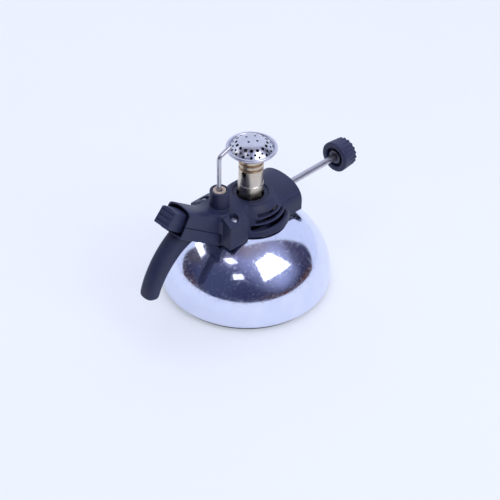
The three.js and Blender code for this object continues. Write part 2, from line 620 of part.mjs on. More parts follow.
function louvres() {
  const cuts = [];
  for (const [low, high, start, end] of LOUVRES) {
    for (const side of [-1, 1]) {
      const shape = new THREE.Shape();
      const toAngle = (degrees) => side * (Math.PI / 2) - side * -THREE.MathUtils.degToRad(degrees);
      const [a, b] = [toAngle(start), toAngle(end)];
      shape.absarc(0, 0, 26, a, b, side > 0);
      shape.absarc(0, 0, 12.6, b, a, side < 0);
      const frame = { origin: [BURNER_X, 0, 0], axes: [[1, 0, 0], [0, 1, 0], [0, 0, 1]] };
      cuts.push(prism(shape, frame, low, high));
    }
  }
  return cuts;
}

// Axis of a housing screw on one side, straight down from the block's sloping shoulder.
function screwAxis(side) {
  const faceZ = DECK_Z - (SCREW_Y - DECK_HALF) * (DECK_Z - BLOCK_SHOULDER_Z) / (BODY_HALF - DECK_HALF);
  return { into: [0, 0, -1], at: (depth) => [SCREW_X, side * SCREW_Y, faceZ - depth] };
}

const HEAD_DEPTH = 3.2;             // depth of the screw head's counterbore
const HEAD_HEIGHT = 1.4;
const SCREW_LENGTH = 10.6;

function housing() {
  const neckMouth = { origin: [NECK_END[0], 0, NECK_END[1]], axes: buttonFrame.axes };
  const neckEnd = prism(ROOMY, neckMouth, -30, 0);
  const forms = [neckForm, bodyForm, blockForm, drumForm, hoodForm];
  const outside = cut(joined(...forms.map((form) => form(0))), neckEnd);
  const mouth = neckForm(MOUTH_WALL).intersect(prism(ROOMY, neckMouth, -12, MOUTH_DEPTH));
  const hollow = joined(...forms.map((form) => form(WALL)), mouth);
  const centre = [BURNER_X, 0];

  const bezel = disc(BEZEL_RADIUS, DRUM_TOP_Z - 5, BEZEL_Z, 32, centre);
  const post = turned([[0, 57], [POST_RADIUS + 0.1, 57], [POST_RADIUS, POST_TOP_Z - 0.6],
    [POST_RADIUS - 0.5, POST_TOP_Z], [0, POST_TOP_Z]], 24, [POST_X, 0]);
  const overBoss = block([BURNER_X, BURNER_X + 14], [-3.9, 3.9], [SLEEVE_BOTTOM_Z - 1, ROD_Z + 3.8]);
  const sleeve = cut(ring(BEZEL_BORE, BEZEL_BORE + 1.4, SLEEVE_BOTTOM_Z, DRUM_TOP_Z, 32, centre), overBoss);
  const shelf = ring(SHELF_BORE, BEZEL_BORE + 0.7, SHELF_Z, SHELF_TOP_Z, 32, centre);
  const sides = [-1, 1];
  const tunnel = sides.map((side) => block([BURNER_X + 10.4, 24.0],
    [side * 5.1 - 0.6, side * 5.1 + 0.6], [SLEEVE_BOTTOM_Z, HOOD_SPRING_Z + HOOD_RISE - 1]));
  const neckRibs = sides.map((side) => block([BODY_START_X - 0.9, BODY_START_X + 1],
    [side * 8.55 - 0.45, side * 8.55 + 0.45], [HOUSING_BOTTOM_Z + 1.5, DECK_Z - 2.6]));
  let shell = joined(cut(joined(outside, bezel, post), hollow), sleeve, ...tunnel, ...neckRibs);

  for (const side of [-1, 1]) {
    const { into, at } = screwAxis(side);
    const boss = bar(3.6, 6.2, at(1.0), into, 12).intersect(outside);
    shell = cut(joined(shell, boss),
      bar(2.4, HEAD_DEPTH + 6, at(-6), into, 16), bar(1.5, 14, at(-1), into, 10));
  }
  shell = cut(shell,
    disc(BEZEL_BORE, 50, 61, 32, centre),
    disc(INSULATOR_RADIUS + GAP, 50, POST_TOP_Z + 2, 20, [POST_X, 0]),
    bar(ROD_RADIUS + 0.7, 12, [HOOD_END_X - 6, 0, ROD_Z], [1, 0, 0], 20),
    domeClearance(0.8), ...louvres());
  shell = joined(shell, shelf);

  // The neck splits along its slope: the lower half carries the handle.
  const splitLow = -NECK_DEPTH / 2 - 0.2;
  const under = (v, start, end) => prism([[-20, v - 30], [20, v - 30], [20, v], [-20, v]], fallFrame, start, end);
  const leftOfBody = block([-100, BODY_START_X - 0.2], [-30, 30], [20, 100]);
  const plateZ = SEAT_Z + 1.4;
  const notch = block([BODY_START_X - 1, BODY_START_X + WALL + 1], [-6.8, 6.8], [30, plateZ + 2.1]);
  const upper = cut(shell, under(splitLow, -12, 60).intersect(leftOfBody), notch);
  piece('upper_housing', upper, blackPlastic());

  const lowerNeck = cut(neckForm(0), neckForm(WALL), mouth, neckEnd)
    .intersect(under(splitLow - 0.2, -12, 60)).intersect(block([-100, BODY_START_X - 0.5], [-30, 30], [20, 100]));
  const plate = block([BODY_START_X - 4.5, -13.0], [-6.5, 6.5], [plateZ, plateZ + 1.8])
    .add(block([BODY_START_X + WALL + 0.5, -16.4], [-13.2, 13.2], [plateZ, plateZ + 1.8]));
  let lower = joined(cut(joined(lowerNeck, plate), domeClearance(0.8)), handle());
  for (const side of [-1, 1]) {
    const { into, at } = screwAxis(side);
    const boss = cut(bar(2.3, 9, at(7.6), into, 12), block([-40, 0], [-20, 20], [20, plateZ + 0.4]));
    lower = cut(joined(lower, boss), bar(1.5, 20, at(4), into, 10).intersect(
      block([-40, 0], [-20, 20], [plateZ + 1.0, 70])));
  }
  piece('lower_housing', lower, blackPlastic());
}

function handle() {
  const [p0, p1, p2, p3] = HANDLE_CURVE.map(([x, z]) => new THREE.Vector3(x, 0, z));
  const curve = new THREE.CubicBezierCurve3(p0, p1, p2, p3);
  const sections = 12;
  const around = 16;
  const rows = [];
  const addRow = (point, tangent, depth, half) => {
    const across = new THREE.Vector3(tangent.z, 0, -tangent.x);
    const row = [];
    for (let i = 0; i < around; i += 1) {
      const angle = (i / around) * 2 * Math.PI;
      const soft = (value) => Math.sign(value) * Math.abs(value) ** (2 / 2.6);
      row.push(point.clone().addScaledVector(across, soft(Math.cos(angle)) * depth / 2)
        .add(new THREE.Vector3(0, soft(Math.sin(angle)) * half, 0)));
    }
    rows.push(row);
  };
  for (let i = 0; i <= sections; i += 1) {
    const t = i / sections;
    const depth = HANDLE_ROOT_DEPTH + (HANDLE_TIP_DEPTH - HANDLE_ROOT_DEPTH) * t;
    addRow(curve.getPoint(t), curve.getTangent(t), depth, HANDLE_HALF);
  }
  const end = curve.getTangent(1);
  for (const turn of [25, 50, 72].map(THREE.MathUtils.degToRad)) {
    addRow(p3.clone().addScaledVector(end, 2.6 * Math.sin(turn)), end,
      HANDLE_TIP_DEPTH * (0.35 + 0.65 * Math.cos(turn)), HANDLE_HALF * (0.35 + 0.65 * Math.cos(turn)));
  }
  return cut(skin(rows), neckForm(WALL - 0.1));
}

// A closed solid through rows of points, with a flat fan at each end.
function skin(rows) {
  const corners = [];
  const faces = [];
  const around = rows[0].length;
  rows.forEach((row) => row.forEach((p) => corners.push(p.x, p.y, p.z)));
  for (let r = 0; r + 1 < rows.length; r += 1) {
    for (let i = 0; i < around; i += 1) {
      const [a, b] = [r * around + i, r * around + (i + 1) % around];
      faces.push(a, b, b + around, a, b + around, a + around);
    }
  }
  for (let i = 1; i + 1 < around; i += 1) {
    const last = (rows.length - 1) * around;
    faces.push(0, i + 1, i, last, last + i, last + i + 1);
  }
  const geometry = new THREE.BufferGeometry();
  geometry.setAttribute('position', new THREE.Float32BufferAttribute(corners, 3));
  geometry.setIndex(faces);
  return solid(geometry);
}

function housingScrews() {
  for (const [name, side] of [['housing_screw_near', -1], ['housing_screw_far', 1]]) {
    const { into, at } = screwAxis(side);
    const top = HEAD_DEPTH - HEAD_HEIGHT - 0.1;
    const body = turnedAlong([[0, 0], [1.5, 0], [2.1, 0.5], [2.1, HEAD_HEIGHT - GAP], [1.2, HEAD_HEIGHT - GAP],
      [1.2, SCREW_LENGTH], [0, SCREW_LENGTH + 1]], 20, at(top), into);
    const frame = { origin: at(top), axes: [[1, 0, 0], [0, 1, 0], [0, 0, 1]] };
    const slots = [[1.2, 0.25], [0.25, 1.2]].map(([u, v]) => prism([[-u, -v], [u, -v], [u, v], [-u, v]], frame, -0.8, 1));
    piece(name, cut(body, ...slots), steel());
  }
}

tank();
refillValve();
gasValve();
adjuster();
burnerHead();
lighter();
housing();
housingScrews();

export default burner;
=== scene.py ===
"""The looks of a table-top gas burner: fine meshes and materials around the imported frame."""
import json
import math

import bmesh
import bpy
from mathutils import Matrix, Vector


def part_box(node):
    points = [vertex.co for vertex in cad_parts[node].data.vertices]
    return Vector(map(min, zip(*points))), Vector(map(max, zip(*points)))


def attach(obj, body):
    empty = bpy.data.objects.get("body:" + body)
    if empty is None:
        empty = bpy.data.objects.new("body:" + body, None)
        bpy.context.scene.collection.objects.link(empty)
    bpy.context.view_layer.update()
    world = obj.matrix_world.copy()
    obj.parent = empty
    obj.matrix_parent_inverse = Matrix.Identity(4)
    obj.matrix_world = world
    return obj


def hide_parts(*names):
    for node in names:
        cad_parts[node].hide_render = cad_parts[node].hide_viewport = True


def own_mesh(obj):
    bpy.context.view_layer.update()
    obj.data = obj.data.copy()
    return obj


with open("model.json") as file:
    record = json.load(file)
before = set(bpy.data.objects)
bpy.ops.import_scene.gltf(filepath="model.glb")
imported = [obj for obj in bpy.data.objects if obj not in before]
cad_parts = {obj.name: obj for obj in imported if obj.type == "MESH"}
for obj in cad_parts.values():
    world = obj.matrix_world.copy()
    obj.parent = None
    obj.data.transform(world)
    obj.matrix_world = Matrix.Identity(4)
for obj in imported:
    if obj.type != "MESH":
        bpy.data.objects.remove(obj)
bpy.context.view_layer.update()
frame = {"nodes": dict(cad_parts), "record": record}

MM = 0.001
TURN = 2 * math.pi
scene = bpy.context.scene
nodes = frame["nodes"]
record = frame["record"]
BODY_OF = {node: body for body, group in record["behaviour"]["bodies"].items() for node in group}


# Every shape below is drawn in millimetres with x measured from the tank's axis. The frame's
# origin is under the middle of the whole length instead.
TANK_AXIS = sum(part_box("tank_shell"), Vector()).x / 2 * Vector((1, 0, 0))


def box_mm(node):
    low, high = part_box(node)
    return (low - TANK_AXIS) / MM, (high - TANK_AXIS) / MM


def in_frame(point):
    """A point of the drawing, in metres from the frame's origin."""
    return Vector(point) * MM + TANK_AXIS


# ---- dimensions, in millimetres
GAP = 0.3                          # between separate pieces
WIRE_END = ((0, 0.72), (0.12, 0.92), (0.35, 1.0))    # step along and size, in wire radii
TANK_LOW, TANK_HIGH = box_mm("tank_shell")
TANK_RADIUS = TANK_HIGH.x
TANK_FOOT_Z = TANK_LOW.z
SEAT_Z = TANK_HIGH.z
TANK_WIDEST_Z = 4.5
TANK_RISE = 41.3
TANK_ROUNDNESS = 2.13
TANK_FOOT_RADIUS = 44.9
RING_INNER = 40.4
RING_STEP = 43.0
BASE_HUB = 5.6
BASE_PAN_Z = 1.7
BASE_RAISED_Z = 3.2
BASE_BEAD = 0.3
SHEET = 0.8

TUBE_LOW, TUBE_HIGH = box_mm("burner_tube")
BURNER_X = (TUBE_LOW.x + TUBE_HIGH.x) / 2
BURNER_FOOT = (BURNER_X, 0, 0)
TUBE_FOOT_RADIUS = (TUBE_HIGH.x - TUBE_LOW.x) / 2
TUBE_RADIUS = TUBE_FOOT_RADIUS - 0.3
GROOVE_HEIGHTS = [75.3, 78.6]
GROOVE_DEPTH = 0.55
GROOVE_HALF = 0.6
TUBE_BORE = 5.4
STEP_Z = 64.8
HEX_TOP_Z = 60.6
AIR_HOLE_Z = 72.7
AIR_HOLE_RADIUS = 1.5
AIR_HOLE_TURN = math.radians(10.4)

CUP_LOW, CUP_HIGH = box_mm("burner_cup")
RIM_RADIUS = (CUP_HIGH.x - CUP_LOW.x) / 2
RIM_Z = CUP_HIGH.z
CAP_LOW, CAP_HIGH = box_mm("burner_cap")
CAP_RADIUS = (CAP_HIGH.x - CAP_LOW.x) / 2
CAP_RISE = 5.8
CAP_SHEET = 0.6
# Rings of holes: count, ring radius, hole radius, turn in degrees.
CAP_HOLES = ((4, 3.3, 0.65, 15), (16, 8.1, 0.92, 0), (16, 9.9, 0.66, 11.25), (16, 11.0, 0.7, 0))

ROD_LOW, ROD_HIGH = box_mm("adjuster_rod")
ROD_Z = (ROD_LOW.z + ROD_HIGH.z) / 2
ROD_RADIUS = (ROD_HIGH.z - ROD_LOW.z) / 2
KNOB_LOW, KNOB_HIGH = box_mm("adjuster_knob")
KNOB_X = KNOB_LOW.x
KNOB_LENGTH = KNOB_HIGH.x - KNOB_LOW.x
KNOB_RADIUS = (KNOB_HIGH.z - KNOB_LOW.z) / 2
KNOB_REAR_RADIUS = 8.2
KNOB_FLUTES = 18
KNOB_CUP = 5.9                     # radius of the hollow round the hub
GRIP_START = 1.6
FLUTE_RADIUS = 1.15
FLUTE_END_LIFT = 0.42

DECK_Z = 60.0
DECK_HALF = 9.9
BODY_HALF = 15.6
BODY_START_X = -27.1
HOUSING_BOTTOM_Z = 42.0
WALL = 1.8
BLOCK_END_X = -14.2
BLOCK_SHOULDER_Z = 56.4
DRUM_TOP_Z = 57.4
DRUM_BOTTOM_Z = 43.0
DRUM_BOTTOM_RADIUS = 22.0
BEZEL_RADIUS = 12.4
BEZEL_BORE = 9.7
BEZEL_Z = 58.2
SHELF_BORE = 7.3
SHELF_Z = 56.0
SHELF_TOP_Z = 57.2
SLEEVE_BOTTOM_Z = 45.0
LOUVRES = [(52.4, 54.0, -30, 22), (49.7, 51.7, -35, 33), (46.3, 48.9, -43, 38)]
HOOD_END_X = 26.7
HOOD_HALF = 15.4
HOOD_SPRING_Z = 47.3
HOOD_RISE = 11.1
HOOD_ROUNDNESS = 2.26
TUNNEL_Y = 5.1                     # the walls that close the rod's room off from the louvres
POST_X = -20.9
POST_RADIUS = 5.2
POST_TOP_Z = 70.8
INSULATOR_RADIUS = 3.6
WIRE_RADIUS = 1.2

BUTTON_TILT = math.radians(29)
NECK_FALL = math.radians(35)
NECK_HALF = 8.1
NECK_DEPTH = 14.1
NECK_CROWN = 1.6
NECK_END = (-48.8, 73.0)
NECK_LENGTH = 40
RIB_Y = 8.55                       # the ribs that close the housing beside the neck
BUTTON_CENTRE_DROP = 6.4
PIEZO_DROP = 0.9
BUTTON_HALF = 5.1
BUTTON_PROUD = 9.1
BUTTON_LEAN = 0.234
BUTTON_FACE = (-3.7, 5.7)
BUTTON_ROOT = (-5.5, 4.9)
BUTTON_GRIPS = (3.9, 1.0, -1.9)
BUTTON_SKIRT = 3.0
BUTTON_TRAVEL = 4.5
MOUTH_WALL = 0.9
MOUTH_DEPTH = 11
HANDLE_CURVE = [(-43.0, 56.4), (-56.8, 53.0), (-67.4, 38.3), (-70.25, 27.8)]
HANDLE_ROOT_DEPTH = 15.0
HANDLE_TIP_DEPTH = 8.9
HANDLE_HALF = 4.8
SCREW_X = -20.9
SCREW_Y = 11.2
HEAD_DEPTH = 3.2
HEAD_HEIGHT = 1.4
SCREW_LENGTH = 10.6
COUNTERBORE = 2.4
THREAD = 1.5
PLATE_Z = SEAT_Z + 1.4             # underside of the plate that the screws pull up
PLATE_THICKNESS = 1.8
NECK_SPLIT = -NECK_DEPTH / 2       # where the neck parts into an upper and a lower half


# ---- mesh making
def finished(name, mesh):
    """A new object from a bmesh in millimetres, in metres, with its normals pointing out."""
    bmesh.ops.remove_doubles(mesh, verts=mesh.verts, dist=1e-5)
    bmesh.ops.recalc_face_normals(mesh, faces=mesh.faces)
    bmesh.ops.scale(mesh, vec=(MM, MM, MM), verts=mesh.verts)
    bmesh.ops.translate(mesh, vec=TANK_AXIS, verts=mesh.verts)
    data = bpy.data.meshes.new(name)
    mesh.to_mesh(data)
    mesh.free()
    obj = bpy.data.objects.new(name, data)
    scene.collection.objects.link(obj)
    return obj


def skin(name, rows, closed_rows=True, capped=False):
    """Quads through rows of points. Each row is a closed loop, and the rows may close on themselves too."""
    mesh = bmesh.new()
    grid = [[mesh.verts.new(point) for point in row] for row in rows]
    last = len(grid) if closed_rows else len(grid) - 1
    count = len(grid[0])
    for r in range(last):
        for i in range(count):
            low, high = grid[r], grid[(r + 1) % len(grid)]
            mesh.faces.new((low[i], low[(i + 1) % count], high[(i + 1) % count], high[i]))
    if capped:
        mesh.faces.new(list(reversed(grid[0])))
        mesh.faces.new(grid[-1])
    return finished(name, mesh)


def lathe(name, profile, segments=96, centre=(0, 0, 0), axis=(0, 0, 1)):
    """A closed (radius, height) profile turned about an axis through a point."""
    turn = Vector((0, 0, 1)).rotation_difference(Vector(axis))
    rows = []
    for i in range(segments):
        angle = TURN * i / segments
        rows.append([turn @ Vector((r * math.cos(angle), r * math.sin(angle), h)) + Vector(centre)
                     for r, h in profile])
    return skin(name, rows)


def disc(name, radius, z0, z1, segments=96, centre=(0, 0)):
    return lathe(name, [(0, z0), (radius, z0), (radius, z1), (0, z1)], segments, (*centre, 0))


def bar(name, radius, length, start, direction, segments=32):
    return lathe(name, [(0, 0), (radius, 0), (radius, length), (0, length)], segments, start, direction)


UPRIGHT = ((1, 0, 0), (0, 1, 0), (0, 0, 1))
ALONG_X = ((0, 1, 0), (0, 0, 1), (1, 0, 0))


def prism(name, outline, origin, axes, w0, w1):
    """An outline of (u, v) points drawn out along w. The axes are u, v and w."""
    u, v, w = (Vector(a) for a in axes)
    rows = [[Vector(origin) + a * u + b * v + depth * w for a, b in outline] for depth in (w0, w1)]
    return skin(name, rows, closed_rows=False, capped=True)


def block(name, xs, ys, zs):
    outline = [(xs[0], ys[0]), (xs[1], ys[0]), (xs[1], ys[1]), (xs[0], ys[1])]
    return prism(name, outline, (0, 0, 0), UPRIGHT, *zs)


def sweep(name, points, radius, sides=20):
    """A round wire along points, with softly rounded ends."""
    path = [Vector(p) for p in points]
    last = len(path) - 1
    tangents = [(path[min(i + 1, last)] - path[max(i - 1, 0)]).normalized() for i in range(last + 1)]
    side = tangents[0].orthogonal().normalized()
    rows = []
    for i, (point, tangent) in enumerate(zip(path, tangents)):
        side = (side - tangent * side.dot(tangent)).normalized()
        other = tangent.cross(side)
        rings = [(0, 1.0)]
        if i == 0:
            rings = WIRE_END
        if i == last:
            rings = [(-shift, size) for shift, size in reversed(WIRE_END)]
        for shift, size in rings:
            rows.append([point + tangent * shift * radius
                         + radius * size * (math.cos(a) * side + math.sin(a) * other)
                         for a in (TURN * k / sides for k in range(sides))])
    return skin(name, rows, closed_rows=False, capped=True)


def evaluated(obj):
    """Applies the object's modifiers to its mesh."""
    bpy.context.view_layer.update()
    made = bpy.data.meshes.new_from_object(obj.evaluated_get(bpy.context.evaluated_depsgraph_get()))
    obj.modifiers.clear()
    old = obj.data
    obj.data = made
    bpy.data.meshes.remove(old)
    return obj


def combine(obj, operation, *tools):
    """Joins, cuts or intersects with the tools, which are then removed."""
    for tool in tools:
        step = obj.modifiers.new(operation, "BOOLEAN")
        step.operation = operation
        step.solver = "MANIFOLD"
        step.object = tool
    evaluated(obj)
    for tool in tools:
        bpy.data.objects.remove(tool)
    return obj


def join(obj, *tools):
    return combine(obj, "UNION", *tools)


def cut(obj, *tools):
    return combine(obj, "DIFFERENCE", *tools)


def keep_within(obj, tool):
    return combine(obj, "INTERSECT", tool)


def soften(obj, voxel, rounds, keep):
    """Rounds every edge the way a mould does, and drops the vertices that flat stretches don't need."""
    grid = obj.modifiers.new("grid", "REMESH")
    grid.mode = "VOXEL"
    grid.voxel_size = voxel * MM
    relax = obj.modifiers.new("relax", "SMOOTH")
    relax.factor = 0.5
    relax.iterations = rounds
    if keep < 1:
        thin = obj.modifiers.new("thin", "DECIMATE")
        thin.ratio = keep
    evaluated(obj)
    return smooth(obj, 60)


def smooth(obj, angle=32):
    for face in obj.data.polygons:
        face.use_smooth = True
    obj.data.set_sharp_from_angle(angle=math.radians(angle))
    return obj


def arc(centre, radius, start, end, steps):
    """Points round an arc, angles in degrees."""
    return [(centre[0] + radius * math.cos(math.radians(start + (end - start) * i / steps)),
             centre[1] + radius * math.sin(math.radians(start + (end - start) * i / steps)))
            for i in range(steps + 1)]


def bend(start, middle, end, steps=8):
    """Points along a quadratic curve, without its first point."""
    out = []
    for i in range(1, steps + 1):
        t = i / steps
        out.append(tuple((1 - t) ** 2 * a + 2 * t * (1 - t) * b + t * t * c
                         for a, b, c in zip(start, middle, end)))
    return out


def stand_for(obj, material, *cad_nodes):
    """The piece shows in place of CAD nodes, on their body."""
    obj.data.materials.clear()
    obj.data.materials.append(material)
    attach(obj, BODY_OF[cad_nodes[0]])
    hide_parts(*cad_nodes)
    return obj


def turned(node, material, profile, segments, centre=(0, 0, 0), axis=(0, 0, 1), angle=32):
    """A lathed piece that stands for one CAD node."""
    shape = lathe("fine_" + node, profile, segments, centre, axis)
    stand_for(smooth(shape, angle), material, node)


# ---- materials
class Wiring:
    """A short way to add and connect nodes."""

    def __init__(self, tree):
        self.tree = tree

    def feed(self, socket, value):
        """Connects a socket to an output, or sets its own value."""
        if isinstance(value, bpy.types.NodeSocket):
            self.tree.links.new(value, socket)
        else:
            socket.default_value = (*value, 1) if socket.type == "RGBA" else value

    def add(self, kind, inputs=(), **settings):
        node = self.tree.nodes.new(kind)
        for key, value in settings.items():
            setattr(node, key, value)
        for key, value in inputs:
            self.feed(node.inputs[key], value)
        return node

    def ramp(self, source, stops):
        node = self.add("ShaderNodeValToRGB", (("Fac", source),))
        points = node.color_ramp.elements
        for _ in range(len(stops) - 2):
            points.new(0.5)
        for point, (at, color) in zip(points, stops):
            point.position = at
            point.color = (*color, 1)
        return node.outputs["Color"]

    def spread(self, source, low, high, from_low=0.3, from_high=0.7, **settings):
        limits = (("From Min", from_low), ("From Max", from_high), ("To Min", low), ("To Max", high))
        return self.add("ShaderNodeMapRange", (("Value", source), *limits), **settings).outputs["Result"]

    def mix(self, amount, first, second, blend="MIX"):
        node = self.add("ShaderNodeMix", data_type="RGBA", blend_type=blend)
        for key, value in (("Factor", amount), ("A", first), ("B", second)):
            self.feed(next(s for s in node.inputs if s.name == key and s.enabled), value)
        return next(s for s in node.outputs if s.enabled)


class Nodes(Wiring):
    """A material and its nodes."""

    def __init__(self, name):
        self.material = bpy.data.materials.new(name)
        self.material.use_nodes = True
        super().__init__(self.material.node_tree)
        self.shader = self.tree.nodes["Principled BSDF"]
        self.place = self.add("ShaderNodeTexCoord").outputs["Object"]

    def noise(self, size, detail=3.0, rough=0.55, stretch=None):
        """Noise with features about this many metres across."""
        place = self.place
        if stretch:
            place = self.add("ShaderNodeMapping", (("Vector", place), ("Scale", stretch))).outputs["Vector"]
        inputs = (("Vector", place), ("Scale", 1 / size), ("Detail", detail), ("Roughness", rough))
        return self.add("ShaderNodeTexNoise", inputs).outputs["Fac"]

    def bump(self, source, depth, below=None):
        node = self.add("ShaderNodeBump", (("Distance", depth), ("Height", source)))
        if below:
            self.feed(node.inputs["Normal"], below)
        return node.outputs["Normal"]

    def set(self, **sockets):
        for key, value in sockets.items():
            self.feed(self.shader.inputs[key.replace("_", " ")], value)
        return self


def darker(color, share):
    return tuple(c * share for c in color)


def chrome():
    """Mirror plate with a faint haze, wiping marks, dull scuffs and small pits."""
    n = Nodes("chrome_plate")
    haze = n.noise(0.011, 4)
    wipes = n.noise(0.004, 5, 0.6, (1.0, 1.0, 5.0))
    specks = n.noise(0.0006, 3, 0.7)
    pits = n.spread(specks, 0.0, 0.75, 0.6, 0.74)
    tone = n.ramp(haze, [(0.3, (0.71, 0.755, 0.95)), (0.7, (0.77, 0.81, 0.98))])
    scuffs = n.spread(n.noise(0.0016, 5, 0.75), 0.0, 0.85, 0.50, 0.64)
    plain = n.mix(0.4, n.spread(haze, 0.05, 0.085), n.spread(wipes, 0.04, 0.14))
    rough = n.mix(pits, n.mix(scuffs, plain, (0.30, 0.30, 0.30)), (0.42, 0.42, 0.42))
    normal = n.bump(specks, 0.0000012, n.bump(wipes, 0.0000025))
    return n.set(Base_Color=tone, Metallic=1.0, Roughness=rough, Normal=normal).material


def black_plastic(name="moulded_plastic", tone=(0.021, 0.025, 0.066)):
    """Moulded plastic with a fine grain, and a painted highlight: a little paler along its convex edges,
    standing for the light they catch.
    """
    n = Nodes(name)
    cloud = n.noise(0.008, 3)
    grain = n.noise(0.00035, 3, 0.6)
    # painted highlight: convex edges are painted paler, for the light caught along them
    edge = n.spread(n.add("ShaderNodeNewGeometry").outputs["Pointiness"], 0.0, 0.35, 0.52, 0.62)
    base = n.ramp(cloud, [(0.3, darker(tone, 0.86)), (0.7, darker(tone, 1.14))])
    painted_edge_highlight = n.mix(edge, base, darker(tone, 2.0))
    rough = n.spread(n.mix(0.5, cloud, grain), 0.42, 0.56)
    n.set(Specular_IOR_Level=0.4)
    return n.set(Base_Color=painted_edge_highlight, Roughness=rough, Normal=n.bump(grain, 0.000018)).material


def steel(name, tone, roughness, stretch=(1.0, 1.0, 12.0), depth=0.000004):
    """Drawn or pressed steel: fine lines along one direction and a slight mottle."""
    n = Nodes(name)
    lines = n.noise(0.0012, 4, 0.6, stretch)
    mottle = n.noise(0.005, 3)
    base = n.mix(n.spread(mottle, 0.0, 1.0), darker(tone, 0.88), darker(tone, 1.08))
    rough = n.spread(lines, roughness * 0.75, roughness * 1.3)
    return n.set(Base_Color=base, Metallic=1.0, Roughness=rough, Normal=n.bump(lines, depth)).material


def plated_tube():
    """Nickel plate, tinted by heat towards the burner head and brown in the grooves."""
    n = Nodes("nickel_plate")
    low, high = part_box("burner_tube")
    height = n.add("ShaderNodeSeparateXYZ", (("Vector", n.place),)).outputs["Z"]
    up = n.spread(height, 0.0, 1.0, low.z, high.z)
    at = [(z * MM - low.z) / (high.z - low.z) for z in (HEX_TOP_Z, STEP_Z, 74.2, *GROOVE_HEIGHTS)]
    plate, warm, brown = (0.71, 0.655, 0.58), (0.64, 0.56, 0.45), (0.33, 0.17, 0.05)
    tint = n.ramp(up, [(0.0, (0.60, 0.52, 0.33)), (at[0], (0.66, 0.58, 0.42)), (at[1], plate),
                       (at[2], warm), (at[3], brown), (at[3] + 0.055, warm),
                       (at[4] - 0.045, warm), (at[4], brown), (at[4] + 0.055, warm)])
    mottle = n.noise(0.0022, 4)
    base = n.mix(n.spread(mottle, 0.0, 0.2), tint, darker(warm, 0.7), "MULTIPLY")
    lines = n.noise(0.0007, 3, 0.6, (1.0, 1.0, 14.0))
    rough = n.spread(mottle, 0.26, 0.38)
    return n.set(Base_Color=base, Metallic=1.0, Roughness=rough, Normal=n.bump(lines, 0.000004)).material


def brass():
    """Turned brass gone dull, darker in clouds."""
    n = Nodes("turned_brass")
    dull = n.noise(0.003, 4)
    rings = n.noise(0.0009, 3, 0.6, (1.0, 1.0, 20.0))
    base = n.ramp(dull, [(0.3, (0.13, 0.09, 0.045)), (0.7, (0.30, 0.22, 0.12))])
    return n.set(Base_Color=base, Metallic=1.0, Roughness=n.spread(dull, 0.28, 0.5),
                 Normal=n.bump(rings, 0.000006)).material


def matt(name, tone, roughness, grain=0.0005, depth=0.00002, spread=0.15):
    """Rubber, ceramic, felt and small mouldings: a mottle and a grain."""
    n = Nodes(name)
    cloud = n.noise(grain * 8, 3)
    fine = n.noise(grain, 4, 0.65)
    base = n.ramp(cloud, [(0.3, darker(tone, 1 - spread)), (0.7, darker(tone, 1 + spread))])
    rough = n.spread(fine, roughness * 0.88, min(1.0, roughness * 1.1))
    return n.set(Base_Color=base, Roughness=rough, Normal=n.bump(fine, depth)).material


CHROME = chrome()
PLASTIC = black_plastic()
KNOB_PLASTIC = black_plastic("knob_plastic", (0.027, 0.031, 0.078))
BRIGHT = steel("bright_steel", (0.70, 0.70, 0.79), 0.34)
ROD_STEEL = steel("drawn_steel", (0.56, 0.55, 0.59), 0.3, (12.0, 1.0, 1.0))
SPRING_STEEL = steel("spring_steel", (0.60, 0.60, 0.62), 0.3, (1.0, 1.0, 1.0))
PRESSED = steel("pressed_steel", (0.56, 0.57, 0.60), 0.34, (1.0, 1.0, 1.0), 0.00001)
CAP_STEEL = steel("cap_steel", (0.68, 0.69, 0.76), 0.24, (1.0, 1.0, 1.0), 0.000008)
# Near-black steel for the flame gauze: painted shade, so that the burner head looks dark inside behind the
# cap's holes.
GAUZE_PAINTED_SHADE = steel("gauze_painted_shade", (0.055, 0.055, 0.06), 0.5, (1.0, 1.0, 1.0), 0.00001)
NICKEL = plated_tube()
BRASS = brass()
RUBBER = matt("black_rubber", (0.022, 0.022, 0.025), 0.75)
CERAMIC = matt("tan_ceramic", (0.42, 0.34, 0.29), 0.6, 0.0004, 0.00003)
WICK = matt("wick_felt", (0.62, 0.59, 0.52), 0.95, 0.0006, 0.00012)
PALE = matt("pale_plastic", (0.70, 0.67, 0.60), 0.45)
CASE = matt("case_plastic", (0.045, 0.045, 0.05), 0.5)
LEAD = matt("lead_sleeve", (0.30, 0.035, 0.028), 0.55)
HUB = steel("dark_hub", (0.11, 0.11, 0.13), 0.42, (1.0, 1.0, 1.0))


# ---- tank
def dome_radius(z):
    lift = min(1.0, max(0.0, (z - TANK_WIDEST_Z) / TANK_RISE))
    return TANK_RADIUS * (1 - lift ** TANK_ROUNDNESS) ** (1 / TANK_ROUNDNESS)


def dome_curve(inset, top, steps):
    """(radius, height) points up the dome, from its widest ring."""
    points = []
    for i in range(steps + 1):
        z = TANK_WIDEST_Z + (top - TANK_WIDEST_Z) * math.sin(i / steps * math.pi / 2)
        points.append((dome_radius(z) * (1 - inset / TANK_RADIUS), z))
    return points


def tank():
    foot, z = TANK_FOOT_RADIUS, TANK_FOOT_Z
    edge = bend((foot, z), (foot + 1.5, z + 0.05), (TANK_RADIUS - 0.45, z + 1.2), 8)
    edge += bend(edge[-1], (TANK_RADIUS - 0.02, z + 1.7), (TANK_RADIUS, TANK_WIDEST_Z), 6)[:-1]
    neck = [(6.8, SEAT_Z), (6.3, SEAT_Z - 0.3), (6.3, SEAT_Z - 1)]
    profile = [(foot - 1.0, z + 0.15), (foot - 0.6, z), (foot, z), *edge, *dome_curve(0, SEAT_Z - 0.2, 56)]
    profile += [(profile[-1][0] - 0.6, SEAT_Z), *neck]
    profile += [(r, h) for r, h in reversed(dome_curve(1.0, SEAT_Z - 1, 20))]
    profile += [(foot - 0.2, z + 1.3), (foot - 1.0, z + 0.9)]
    turned("tank_shell", CHROME, profile, 192)


